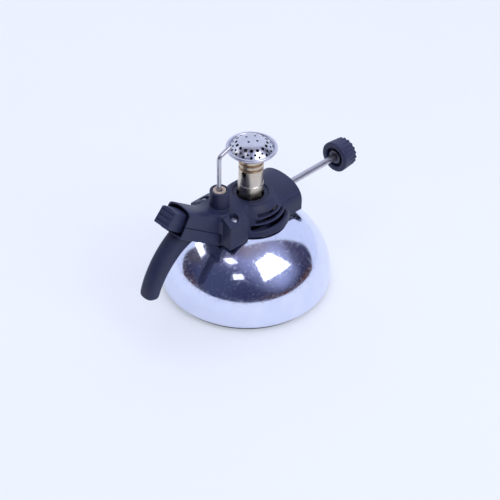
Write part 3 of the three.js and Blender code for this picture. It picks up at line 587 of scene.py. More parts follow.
def foot_ring():
    low, high = box_mm("foot_ring")
    outer, under, soft = high.x, TANK_FOOT_Z - GAP, 0.5
    profile = [*arc((RING_INNER + soft, low.z + soft), soft, 180, 270, 5),
               *arc((outer - soft, low.z + soft), soft, 270, 360, 5),
               (outer, under), (RING_STEP, under), (RING_STEP, high.z), (RING_INNER, high.z)]
    turned("foot_ring", RUBBER, profile, 144)


def tank_base():
    """A pan with a bead, between a raised hub and a raised rim."""
    pan, raised = BASE_PAN_Z, BASE_RAISED_Z
    rim = TANK_FOOT_RADIUS - 1.2 - GAP
    hub_slope, rim_slope = (10.2, 2.3), (38.8, 2.4)
    below = [(BASE_HUB, raised), *bend((BASE_HUB, raised), (9.6, raised), hub_slope, 6),
             *bend(hub_slope, (10.6, pan), (12.0, pan), 6),
             (24.0, pan), (24.6, pan + BASE_BEAD), (25.4, pan + BASE_BEAD), (26.0, pan),
             (37.0, pan), *bend((37.0, pan), (38.3, pan), rim_slope, 6),
             *bend(rim_slope, (39.4, raised), (41, raised), 6), (rim, raised)]
    pan, raised = pan + SHEET, raised + SHEET
    above = [(rim, raised), *bend((rim, raised), (38.6, raised), (38.0, BASE_RAISED_Z), 6),
             (37.2, pan), (26.2, pan), (25.4, pan + BASE_BEAD), (24.6, pan + BASE_BEAD), (23.8, pan),
             (11.0, pan), *bend((11.0, pan), (10.4, raised), (8.8, raised), 6), (BASE_HUB, raised)]
    turned("tank_base", PRESSED, below + above, 144)


# ---- burner
def hexagon(radius):
    corners = [math.pi / 4 + TURN * i / 6 for i in range(6)]
    return [(radius * math.cos(angle), radius * math.sin(angle)) for angle in corners]


def burner_tube():
    foot_z, top = TUBE_LOW.z, TUBE_HIGH.z
    foot, r = TUBE_FOOT_RADIUS, TUBE_RADIUS
    profile = [(foot - 0.2, foot_z), (foot, foot_z + 0.2), (foot, STEP_Z - 0.15), (foot - 0.1, STEP_Z),
               (r, STEP_Z + 0.2)]
    lip, inner_lip, outer_lip = 0.08, GROOVE_HALF + 0.02, GROOVE_HALF + 0.15
    turns = [math.radians(-70 + 14 * k) for k in range(11)]
    for z in GROOVE_HEIGHTS:
        profile += [(r, z - outer_lip), (r - lip, z - inner_lip)]
        profile += [(r - GROOVE_DEPTH * math.cos(a), z + GROOVE_HALF * math.sin(a)) for a in turns]
        profile += [(r - lip, z + inner_lip), (r, z + outer_lip)]
    profile += [(r, top - 0.25), (r - 0.25, top), (TUBE_BORE + 0.1, top), (TUBE_BORE, top - 0.1),
                (TUBE_BORE, 61.0), (4.6, 60.2), (4.6, foot_z)]
    tube = lathe("fine_burner_tube", profile, 96, BURNER_FOOT)
    around = disc("around", 12, foot_z - 1, HEX_TOP_Z, 48, BURNER_FOOT[:2])
    cut(around, prism("flats", hexagon(foot + 0.02), BURNER_FOOT, UPRIGHT, foot_z - 2, HEX_TOP_Z + 1))
    # The chamfer over the flats is a cone, so that each flat ends in a curved line.
    chamfer = [(0, HEX_TOP_Z - 1), (5.6, HEX_TOP_Z - 1), (5.6, HEX_TOP_Z - 0.9), (7.4, HEX_TOP_Z + 0.02),
               (0, HEX_TOP_Z + 0.02)]
    cut(around, lathe("crown", chamfer, 64, BURNER_FOOT))
    out = Vector((math.cos(AIR_HOLE_TURN), math.sin(AIR_HOLE_TURN), 0))
    cut(tube, around, bar("hole", AIR_HOLE_RADIUS, 30, Vector((BURNER_X, 0, AIR_HOLE_Z)) - 15 * out, out, 40))
    stand_for(smooth(tube, 28), NICKEL, "burner_tube")


def burner_cup():
    under = RIM_Z - 2.2
    roll = 0.95
    rim = arc((RIM_RADIUS - roll, RIM_Z - roll), roll, -62, 178, 18)
    profile = [(4.4, 78.4), (5.0, 78.4), (5.1, 78.5), (5.1, 81.5),
               *bend((5.1, 81.5), (7.4, 81.5), (8.6, 82.3), 6),
               *bend((8.6, 82.3), (10.4, 83.6), (12.2, under - 0.1), 8), *rim, (12.4, under + 0.9),
               *bend((12.4, under + 0.9), (12.0, under + 0.4), (9.9, 84.1), 6), (6.9, 82.3), (4.3, 81.6)]
    turned("burner_cup", BRIGHT, profile, 128, BURNER_FOOT, angle=40)


def cap_height(radius):
    """Height of the cap's outside at a radius."""
    return RIM_Z - 1.0 + CAP_RISE * (1 - (radius / CAP_RADIUS) ** 2.3)


def cap_holes():
    """The drills for every hole, each square to the cap where it stands."""
    up = Vector((0, 0, 1))
    holes = bmesh.new()
    for count, radius, size, turn in CAP_HOLES:
        lean = (radius / CAP_RADIUS) ** 2
        for i in range(count):
            angle = TURN * i / count + math.radians(turn)
            out = Vector((math.cos(angle), math.sin(angle), 0))
            axis = (out * lean + up).normalized()
            middle = Vector((BURNER_X, 0, cap_height(radius) - CAP_SHEET / 2)) + out * radius
            place = Matrix.Translation(middle) @ up.rotation_difference(axis).to_matrix().to_4x4()
            bmesh.ops.create_cone(holes, cap_ends=True, segments=16, radius1=size, radius2=size, depth=2.2,
                                  matrix=place)
    return finished("holes", holes)


def burner_cap():
    radii = [CAP_RADIUS * math.sin(i / 24 * math.pi / 2) for i in range(25)]
    outside = [(r, cap_height(r)) for r in radii]
    inside = [(r * 0.965, cap_height(r) - CAP_SHEET) for r in radii[:-1]]
    hem = cap_height(CAP_RADIUS) - 0.7
    skirt = [(CAP_RADIUS, hem), (CAP_RADIUS - CAP_SHEET, hem)]
    cap = lathe("fine_burner_cap", [*outside, *skirt, *reversed(inside)], 128, BURNER_FOOT)
    cut(cap, cap_holes())
    stand_for(smooth(cap, 40), CAP_STEEL, "burner_cap")


# ---- lighter
OUTWARD = Vector((-math.cos(BUTTON_TILT), 0, math.sin(BUTTON_TILT)))
UPWARD = Vector((math.sin(BUTTON_TILT), 0, math.cos(BUTTON_TILT)))
INWARD = -OUTWARD
MOUTH_AXES = ((0, 1, 0), UPWARD, INWARD)
FALL_AXES = ((0, 1, 0), (math.sin(NECK_FALL), 0, math.cos(NECK_FALL)),
             (math.cos(NECK_FALL), 0, -math.sin(NECK_FALL)))
NECK_ORIGIN = (NECK_END[0], 0, NECK_END[1])


def on_axis(out, up=0.0):
    """A point on the button's axis, a distance out of the neck's open end."""
    return Vector(NECK_ORIGIN) + out * OUTWARD + (up - BUTTON_CENTRE_DROP) * UPWARD


def mirrored(side):
    """A closed outline from its right side, which runs from bottom middle to top middle."""
    return [*side, *((-y, z) for y, z in reversed(side) if abs(y) > 1e-6)]


def button_row(half, heights, depth_at):
    """A ring of points round the button, between two heights and as far in as depth_at says."""
    low, high = heights
    side = [(0, low), (half - 0.8, low), *bend((half - 0.8, low), (half, low), (half, low + 0.8)),
            (half, high - 1.0), *bend((half, high - 1.0), (half, high), (half - 1.2, high + 0.1)),
            *bend((half - 1.2, high + 0.1), (half * 0.4, high + 0.5), (0, high + 0.5))]
    return [on_axis(0) + Vector((0, across, 0)) + up * UPWARD + depth_at(up) * INWARD
            for across, up in mirrored(side)]


def ignition_button():
    def face_depth(up):
        return BUTTON_LEAN * up - BUTTON_PROUD

    root_low, root_high = BUTTON_ROOT
    inside = root_high - BUTTON_SKIRT * math.tan(NECK_FALL - BUTTON_TILT)
    rows = [button_row(BUTTON_HALF, BUTTON_FACE, face_depth),
            button_row(BUTTON_HALF, BUTTON_ROOT, lambda up: 0),
            button_row(BUTTON_HALF, (root_low, inside), lambda up: BUTTON_SKIRT)]
    head = skin("fine_ignition_button", rows, closed_rows=False, capped=True)
    lean = math.atan(BUTTON_LEAN)
    face_up = UPWARD * math.cos(lean) + INWARD * math.sin(lean)
    face_in = INWARD * math.cos(lean) - UPWARD * math.sin(lean)
    tools = [bar("hollow", 3.5, BUTTON_SKIRT + 1, on_axis(0, -PIEZO_DROP), INWARD, 48)]
    for up in BUTTON_GRIPS:
        outline = [(-4.2, up - 0.6), (4.2, up - 0.6), (4.2, up + 0.6), (-4.2, up + 0.6)]
        tools.append(prism("grip", outline, on_axis(BUTTON_PROUD), ((0, 1, 0), face_up, face_in), -1, 0.55))
    cut(head, *tools)
    stand_for(soften(head, 0.16, 7, 0.5), KNOB_PLASTIC, "ignition_button")


def electrode():
    low, high = box_mm("electrode")
    corner = Vector((POST_X - 0.6, 0, 91.6))
    start = Vector((POST_X, 0, low.z))
    tip = Vector((high.x - 0.5, 0, high.z - WIRE_RADIUS + 0.1))
    before = corner.lerp(start, 0.06)
    after = corner.lerp(tip, 0.26)
    points = [start.lerp(before, i / 12) for i in range(12)]
    points += [before, *(Vector(p) for p in bend(tuple(before), tuple(corner), tuple(after), 10))]
    points += [after.lerp(tip, i / 4) for i in range(1, 5)]
    stand_for(smooth(sweep("fine_electrode", points, WIRE_RADIUS, 28), 50), ROD_STEEL, "electrode")


def insulator():
    low, high = box_mm("insulator")
    inner, outer, soft = WIRE_RADIUS + 0.4, INSULATOR_RADIUS, 0.5
    shoulder = high.z - soft
    top = arc((outer - soft, shoulder), soft, 0, 90, 6) + arc((inner + soft, shoulder), soft, 90, 180, 6)
    profile = [(inner, low.z), (outer, low.z), (outer, shoulder), *top]
    turned("insulator", CERAMIC, profile, 64, (POST_X, 0, 0))


def coil(name, radius, wire, turns, start, axis, length, node):
    """A helical spring of even pitch along an axis."""
    axis = Vector(axis).normalized()
    side = axis.orthogonal().normalized()
    other = axis.cross(side)
    steps = turns * 24
    points = []
    for i in range(steps + 1):
        angle = TURN * turns * i / steps
        out = math.cos(angle) * side + math.sin(angle) * other
        points.append(Vector(start) + axis * length * i / steps + radius * out)
    obj = stand_for(smooth(sweep(name, points, wire, 10), 50), SPRING_STEEL, node)
    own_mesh(obj)


def springs():
    length = BUTTON_SKIRT + BUTTON_TRAVEL - 0.6
    coil("fine_button_spring", 2.7, 0.35, 6, on_axis(-0.7, -PIEZO_DROP), INWARD, length,
         "button_spring")
    length = 6.3
    coil("fine_refill_spring", 1.75, 0.3, 6, (0, 0, 6.95), (0, 0, 1), length,
         "refill_valve_spring")


# ---- adjuster
HUB_LOW, HUB_HIGH = box_mm("knob_insert")
HUB_RADIUS = (HUB_HIGH.z - HUB_LOW.z) / 2
HUB_DEPTH = HUB_HIGH.x - HUB_LOW.x


def adjuster_rod():
    length, chamfer = ROD_HIGH.x - ROD_LOW.x, 0.3
    profile = [(0, 0), (ROD_RADIUS - chamfer, 0), (ROD_RADIUS, chamfer), (ROD_RADIUS, length - chamfer),
               (ROD_RADIUS - chamfer, length), (0, length)]
    turned("adjuster_rod", ROD_STEEL, profile, 48, (ROD_LOW.x, 0, ROD_Z), (1, 0, 0))


def knob_insert():
    hub, depth, soft = HUB_RADIUS, HUB_DEPTH, 0.5
    bore = ROD_RADIUS + GAP
    profile = [(bore, 0.25), (bore + 0.25, 0), (hub - 1.3, 0), (hub - 1.2, 0.12), (hub - 1.1, 0),
               (hub - soft, 0), *arc((hub - soft, soft), soft, 270, 360, 5), (hub, depth), (0, depth),
               (0, depth - 0.4), (bore, depth - 0.4)]
    turned("knob_insert", HUB, profile, 72, (HUB_LOW.x, 0, ROD_Z), (1, 0, 0))


def knob_outline():
    """(radius, distance) points from the hub's seat out over the grip to the outer face."""
    cup, seat, soft = KNOB_CUP, HUB_RADIUS + GAP, 0.7
    floor_depth = HUB_DEPTH + 0.3 + GAP
    path = [(seat, floor_depth), (seat, 3.4), (seat + 0.2, 3.2), (cup - 0.6, 3.2), (cup - 0.1, 2.9),
            (cup, 2.4), (cup, 0.4), *arc((cup + 0.35, 0.35), 0.35, 180, 270, 5),
            *arc((KNOB_RADIUS - soft, soft), soft, 270, 360, 8), (KNOB_RADIUS, GRIP_START)]
    steps = 16
    for i in range(1, steps + 1):
        share = i / steps
        path.append((KNOB_RADIUS + (KNOB_REAR_RADIUS + 0.1 - KNOB_RADIUS) * share,
                     GRIP_START + (KNOB_LENGTH - soft - GRIP_START) * share))
    path += arc((KNOB_REAR_RADIUS - 0.6, KNOB_LENGTH - soft), soft, 0, 90, 6)
    face = KNOB_LENGTH - 0.25
    return path + [(6.2, KNOB_LENGTH), (5.9, face), (3.0, face), (0, face), (0, floor_depth)]


def flute_depth(radius, distance, angle):
    """How far a flute cuts in. The flutes deepen along the grip."""
    across = radius * (((angle * KNOB_FLUTES / TURN) % 1) - 0.5) * TURN / KNOB_FLUTES
    share = (distance - GRIP_START) / (KNOB_LENGTH - GRIP_START)
    lift = FLUTE_RADIUS + (FLUTE_END_LIFT - FLUTE_RADIUS) * share
    return max(0.0, math.sqrt(max(0.0, FLUTE_RADIUS ** 2 - across ** 2)) - lift)


def adjuster_knob():
    columns = KNOB_FLUTES * 20
    rows = []
    for radius, distance in knob_outline():
        row = []
        for i in range(columns):
            angle = TURN * i / columns
            out = radius
            if radius > KNOB_CUP + 0.3 and distance > GRIP_START:
                out -= flute_depth(radius, distance, angle)
            row.append((KNOB_X + distance, out * math.cos(angle), ROD_Z + out * math.sin(angle)))
        rows.append(row)
    stand_for(smooth(skin("fine_adjuster_knob", rows), 38), KNOB_PLASTIC, "adjuster_knob")


# ---- housing
def neck_form(inset):
    half, low, crown = NECK_HALF - inset, -NECK_DEPTH + inset, NECK_CROWN - inset
    side = [(0, low), (half - 1, low), *bend((half - 1, low), (half, low), (half, low + 1)),
            (half, crown - 3.0), *bend((half, crown - 3.0), (half, crown - 1.2), (half - 2.2, crown - 0.7)),
            *bend((half - 2.2, crown - 0.7), (half * 0.4, crown), (0, crown))]
    return prism("neck", mirrored(side), NECK_ORIGIN, FALL_AXES, -8, NECK_LENGTH - inset)


def body_form(inset):
    deck = DECK_Z - inset
    bottom = HOUSING_BOTTOM_Z - (1 if inset else 0)
    side = [(0, bottom), (BODY_HALF - inset, bottom), (DECK_HALF - inset * 0.6, deck), (0, deck)]
    return prism("body", mirrored(side), (0, 0, 0), ALONG_X, BODY_START_X + inset, BURNER_X - 11 - inset)


def block_form(inset):
    half, deck = BODY_HALF - inset, DECK_Z - inset
    bottom = HOUSING_BOTTOM_Z - (1 if inset else 0)
    side = [(0, bottom), (half, bottom), (half, BLOCK_SHOULDER_Z - inset),
            (DECK_HALF - inset * 0.3, deck), (0, deck)]
    return prism("block", mirrored(side), (0, 0, 0), ALONG_X, BODY_START_X + inset, BLOCK_END_X - inset)


def drum_form(inset):
    bottom = HOUSING_BOTTOM_Z - 2 if inset else DRUM_BOTTOM_Z
    flank = [(DRUM_BOTTOM_RADIUS, DRUM_BOTTOM_Z), (21.2, 45.4), (19.2, 49.0), (16.6, 53.0), (14.4, 55.8)]
    profile = [(0, bottom), (DRUM_BOTTOM_RADIUS - inset, bottom), *((r - inset, z) for r, z in flank),
               (BEZEL_RADIUS, DRUM_TOP_Z - inset), (0, DRUM_TOP_Z - inset)]
    return lathe("drum", profile, 144, BURNER_FOOT)


def hood_form(inset):
    half, rise = HOOD_HALF - inset, HOOD_RISE - inset
    bottom = HOUSING_BOTTOM_Z - (1 if inset else 0)
    side = [(0, bottom), (half, bottom)]
    for i in range(33):
        y = half * math.cos(i / 32 * math.pi / 2)
        lift = max(0.0, 1 - (y / half) ** HOOD_ROUNDNESS) ** (1 / HOOD_ROUNDNESS)
        side.append((max(0.0, y) if i < 32 else 0.0, HOOD_SPRING_Z + rise * lift))
    start = BURNER_X - (2 if inset else 0)
    return prism("hood", mirrored(side), (0, 0, 0), ALONG_X, start, HOOD_END_X - inset)


FORMS = (neck_form, body_form, block_form, drum_form, hood_form)


def dome_clearance(offset):
    curve = [(r, z + offset) for r, z in dome_curve(-offset, SEAT_Z, 24)]
    return lathe("clearance", [(0, 0), (curve[0][0], 0), *curve, (0, SEAT_Z + offset)], 128)


def louvres():
    """Curved slots in the drum, from (low, high, start, end): heights, and angles from the near side."""
    cuts = []
    for low, high, start, end in LOUVRES:
        for side in (-1, 1):
            first, last = side * (90 - start), side * (90 - end)
            outline = [*arc((0, 0), 26, first, last, 24), *arc((0, 0), 12.6, last, first, 24)]
            cuts.append(prism("louvre", outline, BURNER_FOOT, UPRIGHT, low, high))
    return cuts


def screw_axis(side):
    """The direction down into the block and a function that gives a point at a depth."""
    slope = (DECK_Z - BLOCK_SHOULDER_Z) / (BODY_HALF - DECK_HALF)
    face = Vector((SCREW_X, side * SCREW_Y, DECK_Z - (SCREW_Y - DECK_HALF) * slope))
    into = Vector((0, 0, -1))
    return into, lambda depth: face + depth * into


def roomy(name, top, start, end, axes):
    """A box wider than the neck, up to a height and between two depths."""
    return prism(name, [(-20, -30), (20, -30), (20, top), (-20, top)], NECK_ORIGIN, axes, start, end)


def neck_mouth():
    return keep_within(neck_form(MOUTH_WALL), roomy("room", 20, -12, MOUTH_DEPTH, MOUTH_AXES))


def saddle():
    """Fills the crease where the top of the neck runs into the deck."""
    crown = NECK_END[1] + NECK_CROWN / math.cos(NECK_FALL)
    corner_x = NECK_END[0] + (crown - DECK_Z) / math.tan(NECK_FALL)
    reach = 8.5
    start = (corner_x - reach, DECK_Z + reach * math.tan(NECK_FALL))
    curve = [start, *bend(start, (corner_x, DECK_Z), (corner_x + reach, DECK_Z))]
    rows = []
    for i, (x, top) in enumerate(curve):
        share = i / (len(curve) - 1)
        half, drop = 5.6 + 3.6 * share, 0.7 * (1 - share)
        side = [(0, top - 5), (half, top - 5), (half, top - drop),
                *bend((half, top - drop), (half * 0.5, top), (0, top), 5)]
        rows.append([(x, y, z) for y, z in mirrored(side)])
    return skin("saddle", rows, closed_rows=False, capped=True)


def ring(name, inner, outer, low, high):
    """A plain ring round the burner's axis."""
    return lathe(name, [(inner, low), (outer, low), (outer, high), (inner, high)], 96, BURNER_FOOT)


def duplicate(obj):
    twin = obj.copy()
    twin.data = obj.data.copy()
    scene.collection.objects.link(twin)
    return twin


def inner_walls():
    """Walls beside the rod and beside the neck, which close the views into the hollow."""
    plans = ((TUNNEL_Y, 0.6, (BURNER_X + 10.4, 24.0), (SLEEVE_BOTTOM_Z, HOOD_SPRING_Z + HOOD_RISE - 1)),
             (RIB_Y, 0.45, (BODY_START_X - 0.9, BODY_START_X + 1), (HOUSING_BOTTOM_Z + 1.5, DECK_Z - 2.6)))
    return [block("wall", xs, (side * y - half, side * y + half), zs)
            for side in (-1, 1) for y, half, xs, zs in plans]


def add_screw_bosses(shell, solid):
    """Fills the blocks round the screws, from the uncut outside, and drills them."""
    for side in (-1, 1):
        into, at = screw_axis(side)
        boss = keep_within(duplicate(solid), bar("boss", 3.6, 6.2, at(1.0), into, 48))
        join(shell, boss)
        cut(shell, bar("counterbore", COUNTERBORE, HEAD_DEPTH + 6, at(-6), into, 48),
            bar("thread", THREAD, 14, at(-1), into))


def under_neck(split, end_x):
    """The room under the neck's parting line, left of the body."""
    return keep_within(roomy("under", split, -12, 60, FALL_AXES),
                       block("left", (-100, end_x), (-30, 30), (20, 100)))


def upper_housing():
    outside = [form(0) for form in FORMS]
    shell = join(*outside, saddle())
    shell.name = "fine_upper_housing"
    cut(shell, roomy("neck_end", 20, -30, 0, MOUTH_AXES))
    solid = duplicate(shell)
    soft = 0.6
    post = [(0, 57), (POST_RADIUS + 0.1, 57), (POST_RADIUS, POST_TOP_Z - soft),
            *arc((POST_RADIUS - soft, POST_TOP_Z - soft), soft, 0, 90, 5), (0, POST_TOP_Z)]
    centre = BURNER_FOOT[:2]
    join(shell, disc("bezel", BEZEL_RADIUS, DRUM_TOP_Z - 5, BEZEL_Z, 96, centre),
         lathe("post", post, 72, (POST_X, 0, 0)))
    cut(shell, *(form(WALL) for form in FORMS), neck_mouth())
    sleeve = ring("sleeve", BEZEL_BORE, BEZEL_BORE + 1.4, SLEEVE_BOTTOM_Z, DRUM_TOP_Z)
    boss_room = block("boss_room", (BURNER_X, BURNER_X + 14), (-3.9, 3.9), (SLEEVE_BOTTOM_Z - 1, ROD_Z + 3.8))
    cut(sleeve, boss_room)
    join(shell, sleeve, *inner_walls())
    add_screw_bosses(shell, solid)
    bpy.data.objects.remove(solid)
    cut(shell, disc("bore", BEZEL_BORE, 50, 61, 96, centre),
        disc("insulator_bore", INSULATOR_RADIUS + GAP, 50, POST_TOP_Z + 2, 64, (POST_X, 0)),
        bar("rod_hole", ROD_RADIUS + 0.7, 12, (HOOD_END_X - 6, 0, ROD_Z), (1, 0, 0), 48),
        dome_clearance(0.8), *louvres())
    plate_room = block("plate_room", (BODY_START_X - 1, BODY_START_X + WALL + 1), (-6.8, 6.8),
                       (30, PLATE_Z + PLATE_THICKNESS + GAP))
    cut(shell, under_neck(NECK_SPLIT - 0.2, BODY_START_X - 0.2), plate_room)
    join(shell, ring("shelf", SHELF_BORE, BEZEL_BORE + 0.7, SHELF_Z, SHELF_TOP_Z))
    stand_for(soften(shell, 0.26, 12, 0.3), PLASTIC, "upper_housing")


def handle_rows():
    """Sections down the handle: rounded rectangles square to its curve, closed by a domed end."""
    points = [Vector((x, 0, z)) for x, z in HANDLE_CURVE]

    def at(t):
        weights = ((1 - t) ** 3, 3 * t * (1 - t) ** 2, 3 * t * t * (1 - t), t ** 3)
        return sum((w * p for w, p in zip(weights, points)), Vector())

    def tangent(t):
        ahead, behind = at(min(1, t + 0.01)), at(max(0, t - 0.01))
        return (ahead - behind).normalized()

    def section(point, along, depth, half):
        across = Vector((along.z, 0, -along.x))
        row = []
        for i in range(48):
            angle = TURN * i / 48
            soft = [math.copysign(abs(v) ** (2 / 2.6), v) for v in (math.cos(angle), math.sin(angle))]
            row.append(point + across * soft[0] * depth / 2 + Vector((0, soft[1] * half, 0)))
        return row

    rows = []
    for i in range(41):
        t = i / 40
        depth = HANDLE_ROOT_DEPTH + (HANDLE_TIP_DEPTH - HANDLE_ROOT_DEPTH) * t
        rows.append(section(at(t), tangent(t), depth, HANDLE_HALF))
    for turn in (12, 24, 36, 48, 60, 72, 80):
        share = 0.35 + 0.65 * math.cos(math.radians(turn))
        end = points[3] + tangent(1) * 2.6 * math.sin(math.radians(turn))
        rows.append(section(end, tangent(1), HANDLE_TIP_DEPTH * share, HANDLE_HALF * share))
    return rows


def lower_housing():
    lower = neck_form(0)
    lower.name = "fine_lower_housing"
    cut(lower, neck_form(WALL), neck_mouth(), roomy("neck_end", 20, -30, 0, MOUTH_AXES))
    keep_within(lower, under_neck(NECK_SPLIT - 0.4, BODY_START_X - 0.5))
    plate = (PLATE_Z, PLATE_Z + PLATE_THICKNESS)
    join(lower, block("tongue", (BODY_START_X - 4.5, -13.0), (-6.5, 6.5), plate),
         block("bridge", (BODY_START_X + WALL + 0.5, -16.4), (-13.2, 13.2), plate))
    cut(lower, dome_clearance(0.8))
    grip = skin("grip", handle_rows(), closed_rows=False, capped=True)
    cut(grip, neck_form(WALL - 0.1))
    join(lower, grip)
    for side in (-1, 1):
        into, at = screw_axis(side)
        boss = bar("boss", 2.3, 9, at(7.6), into, 40)
        cut(boss, block("floor", (-40, 0), (-20, 20), (20, PLATE_Z + 0.4)))
        thread = bar("thread", THREAD, 20, at(4), into)
        keep_within(thread, block("room", (-40, 0), (-20, 20), (PLATE_Z + 1.0, 70)))
        join(lower, boss)
        cut(lower, thread)
    stand_for(soften(lower, 0.26, 12, 0.4), PLASTIC, "lower_housing")


def housing_screws():
    start = HEAD_DEPTH - HEAD_HEIGHT - 0.1
    head = HEAD_HEIGHT - GAP
    for node, side in (("housing_screw_near", -1), ("housing_screw_far", 1)):
        into, at = screw_axis(side)
        profile = [(0, 0), (1.2, 0.04), *bend((1.2, 0.04), (1.9, 0.15), (2.1, 0.6), 6), (2.1, head - 0.1),
                   (2.0, head), (1.2, head), (1.2, SCREW_LENGTH), (0, SCREW_LENGTH + 1)]
        screw = lathe("fine_" + node, profile, 56, at(start), into)
        for u, v in ((1.25, 0.3), (0.3, 1.25)):
            cut(screw, prism("slot", [(-u, -v), (u, -v), (u, v), (-u, v)], at(start), UPRIGHT, -0.75, 1))
        stand_for(smooth(screw, 30), BRIGHT, node)


# ---- nodes that keep their CAD mesh
KEPT = {
    "valve_body": BRASS, "gas_jet": BRASS, "gland_nut": BRASS,
    "refill_valve_body": BRASS, "refill_valve_stem": BRASS,
    "tank_gasket": RUBBER, "gland_seal": RUBBER, "refill_valve_seal": RUBBER,
    # the flame gauze is painted near-black, as shade inside the burner head
    "needle": ROD_STEEL, "flame_gauze": GAUZE_PAINTED_SHADE, "gas_wick": WICK,
    "piezo_case": CASE, "piezo_plunger": PALE, "ignition_lead": LEAD,
}


def kept_nodes():
    for name, material in KEPT.items():
        materials = nodes[name].data.materials
        materials.clear()
        materials.append(material)


# ---- stage, light and camera
def direction(azimuth, elevation):
    """A direction from the object. Azimuth 0 is -Y and 90 is +X."""
    a, e = math.radians(azimuth), math.radians(elevation)
    return Vector((math.sin(a) * math.cos(e), -math.cos(a) * math.cos(e), math.sin(e)))


def lamp(name, corners, distance, power, color=(1, 1, 1)):
    """A rectangular lamp whose corners lie in the given (azimuth, elevation) directions, in the
    order low, low, high, high, all at the same distance in metres from the vertical axis."""
    low_start, low_end, high_end, high_start = (
        direction(*corner) * distance / math.cos(math.radians(corner[1])) for corner in corners)
    across = (low_end - low_start + high_end - high_start) / 2
    up = (high_start - low_start + high_end - low_end) / 2
    away = across.cross(up).normalized()
    light = bpy.data.lights.new(name, "AREA")
    light.shape = "RECTANGLE"
    light.size, light.size_y = across.length, up.length
    light.energy = power
    light.color = color
    obj = bpy.data.objects.new(name, light)
    scene.collection.objects.link(obj)
    side = across.normalized()
    place = Matrix((side, away.cross(side), away)).transposed().to_4x4()
    place.translation = (low_start + low_end + high_end + high_start) / 4
    obj.matrix_world = place
    obj.visible_camera = False
    return obj


WHITE = (0.74, 0.80, 1.0)
BACKDROP_TURN = 141
BACKDROP_EDGE = (71, 66)           # degrees from its middle
# The near side's colors by the upward part of the direction.
LEVELS = ((0.0, (0.12, 0.058, 0.050)), (0.18, (0.042, 0.042, 0.085)), (0.5, (0.075, 0.085, 0.20)),
          (0.85, (0.20, 0.18, 0.26)))
# Soft patches on it: azimuth, elevation, half width in degrees, strength, color.
PATCHES = (
    (6, 47, 46, 0.75, (0.50, 0.55, 0.86)),
    (-60, 50, 34, 0.6, (0.30, 0.33, 0.62)),
    (-95, 25, 32, 0.8, (0.075, 0.085, 0.17)),
    (58, 30, 24, 0.7, (0.050, 0.042, 0.080)),
    (-60, 2, 72, 1.0, (0.042, 0.046, 0.105)),
    (-90, 30, 40, 0.6, (0.075, 0.090, 0.17)),
    (10, 84, 20, 0.5, (0.34, 0.27, 0.28)),
    (-140, 30, 24, 0.7, (0.10, 0.085, 0.075)),
)


def room():
    """A studio: a white backdrop on the far side, and a dim room on the near side."""
    world = bpy.data.worlds.new("studio")
    scene.world = world
    world.use_nodes = True
    n = Wiring(world.node_tree)

    def maths(operation, first, second=0.0):
        return n.add("ShaderNodeMath", ((0, first), (1, second)), operation=operation).outputs[0]

    def rise(value, start, end, high=1.0):
        return n.spread(value, 0.0, high, start, end, interpolation_type="SMOOTHSTEP")

    def cosine(degrees):
        return math.cos(math.radians(degrees))

    where = n.add("ShaderNodeTexCoord").outputs["Generated"]
    x, y, z = n.add("ShaderNodeSeparateXYZ", ((0, where),)).outputs
    noise = (("Vector", where), ("Scale", 2.6), ("Detail", 5.0), ("Roughness", 0.6))
    clutter = n.add("ShaderNodeTexNoise", noise).outputs["Fac"]
    uneven = maths("MULTIPLY", maths("SUBTRACT", clutter, 0.5), 0.9)
    color = n.ramp(maths("ADD", z, maths("MULTIPLY", uneven, 0.5)), LEVELS)
    for azimuth, elevation, width, strength, tint in PATCHES:
        middle = direction(azimuth, elevation)
        toward = n.add("ShaderNodeVectorMath", ((0, where), (1, middle)), operation="DOT_PRODUCT")
        closeness = maths("ADD", toward.outputs["Value"], maths("MULTIPLY", uneven, 0.25))
        color = n.mix(rise(closeness, cosine(width), 1.0, strength), color, tint)
    backdrop = direction(BACKDROP_TURN, 0)
    flat = maths("SQRT", maths("ADD", maths("MULTIPLY", x, x), maths("MULTIPLY", y, y)))
    along = maths("ADD", maths("MULTIPLY", x, backdrop.x), maths("MULTIPLY", y, backdrop.y))
    facing = maths("DIVIDE", along, maths("MAXIMUM", flat, 0.001))
    # The backdrop sweeps round into the floor, so its edge reaches further forward low down.
    sweep_up = maths("MAXIMUM", maths("SUBTRACT", 1.0, maths("DIVIDE", z, 0.4)), 0.0)
    reach = maths("ADD", facing, maths("MULTIPLY", maths("MULTIPLY", sweep_up, sweep_up), 0.30))
    above = n.mix(rise(reach, *(cosine(edge) for edge in BACKDROP_EDGE)), color, WHITE)
    background = n.tree.nodes["Background"]
    n.feed(background.inputs["Color"], n.mix(rise(z, 0.0, -0.004), above, WHITE))
    background.inputs["Strength"].default_value = 1.0


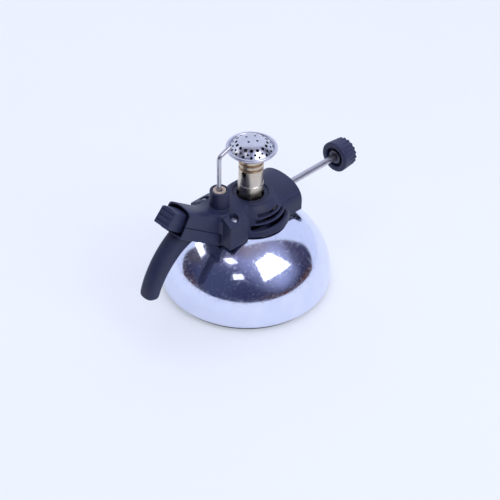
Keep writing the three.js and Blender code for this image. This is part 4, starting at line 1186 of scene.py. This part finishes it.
def floor():
    mesh = bmesh.new()
    bmesh.ops.create_grid(mesh, x_segments=24, y_segments=24, size=1500)
    obj = finished("floor", mesh)
    n = Nodes("pale_floor")
    tone = n.ramp(n.noise(0.4, 2), [(0.3, (0.46, 0.47, 0.50)), (0.7, (0.48, 0.49, 0.52))])
    n.set(Base_Color=tone, Roughness=0.75, Normal=n.bump(n.noise(0.002, 2), 0.00001))
    n.set(Emission_Color=(0.86, 0.91, 1.0), Emission_Strength=0.43)
    n.set(Specular_IOR_Level=0.2)
    obj.data.materials.append(n.material)


def lights():
    overhead = lamp("overhead", [(-115, 56), (-25, 56), (65, 56), (155, 56)], 1.23, 17, (0.93, 0.96, 1.0))
    overhead.visible_glossy = False
    lamp("softbox", [(-14.7, 30.8), (33.7, 35.2), (28, 63), (-21, 63.5)], 1.02, 11)
    lamp("window_small", [(-86, 56.5), (-69, 62), (-80, 67.5), (-98, 59.5)], 0.75, 0.9)
    lamp("window_low", [(-63, 36.5), (-47.5, 39.2), (-49.5, 47), (-66, 44.3)], 1.19, 0.6)
    lamp("window_left", [(-156, 33.2), (-127, 36.4), (-134, 45), (-154, 41)], 1.24, 0.9)


CAMERA_TURN, CAMERA_RISE, CAMERA_ROLL = -45.24, 39.04, -1.70
CAMERA_DISTANCE = 0.9
LOOK_AT = in_frame((-4.0, -7.08, 25.0))
FOCAL_SHARE = 3.312                # focal length over the sensor's width


def camera():
    back = direction(CAMERA_TURN, CAMERA_RISE)
    right = Vector((0, 0, 1)).cross(back).normalized()
    up = back.cross(right)
    roll = math.radians(CAMERA_ROLL)
    level = right * math.cos(roll) - up * math.sin(roll)
    rise = up * math.cos(roll) + right * math.sin(roll)
    data = bpy.data.cameras.new("camera")
    data.sensor_width = 36
    data.lens = 36 * FOCAL_SHARE
    data.clip_start = 0.01
    data.clip_end = 100
    obj = bpy.data.objects.new("camera", data)
    scene.collection.objects.link(obj)
    place = Matrix((level, rise, back)).transposed().to_4x4()
    place.translation = LOOK_AT + back * CAMERA_DISTANCE
    obj.matrix_world = place
    scene.camera = obj


camera()
room()
floor()
lights()
scene.view_settings.view_transform = "Standard"
tank()
foot_ring()
tank_base()
burner_tube()
burner_cup()
burner_cap()
ignition_button()
electrode()
insulator()
springs()
adjuster_rod()
knob_insert()
adjuster_knob()
upper_housing()
lower_housing()
housing_screws()
kept_nodes()
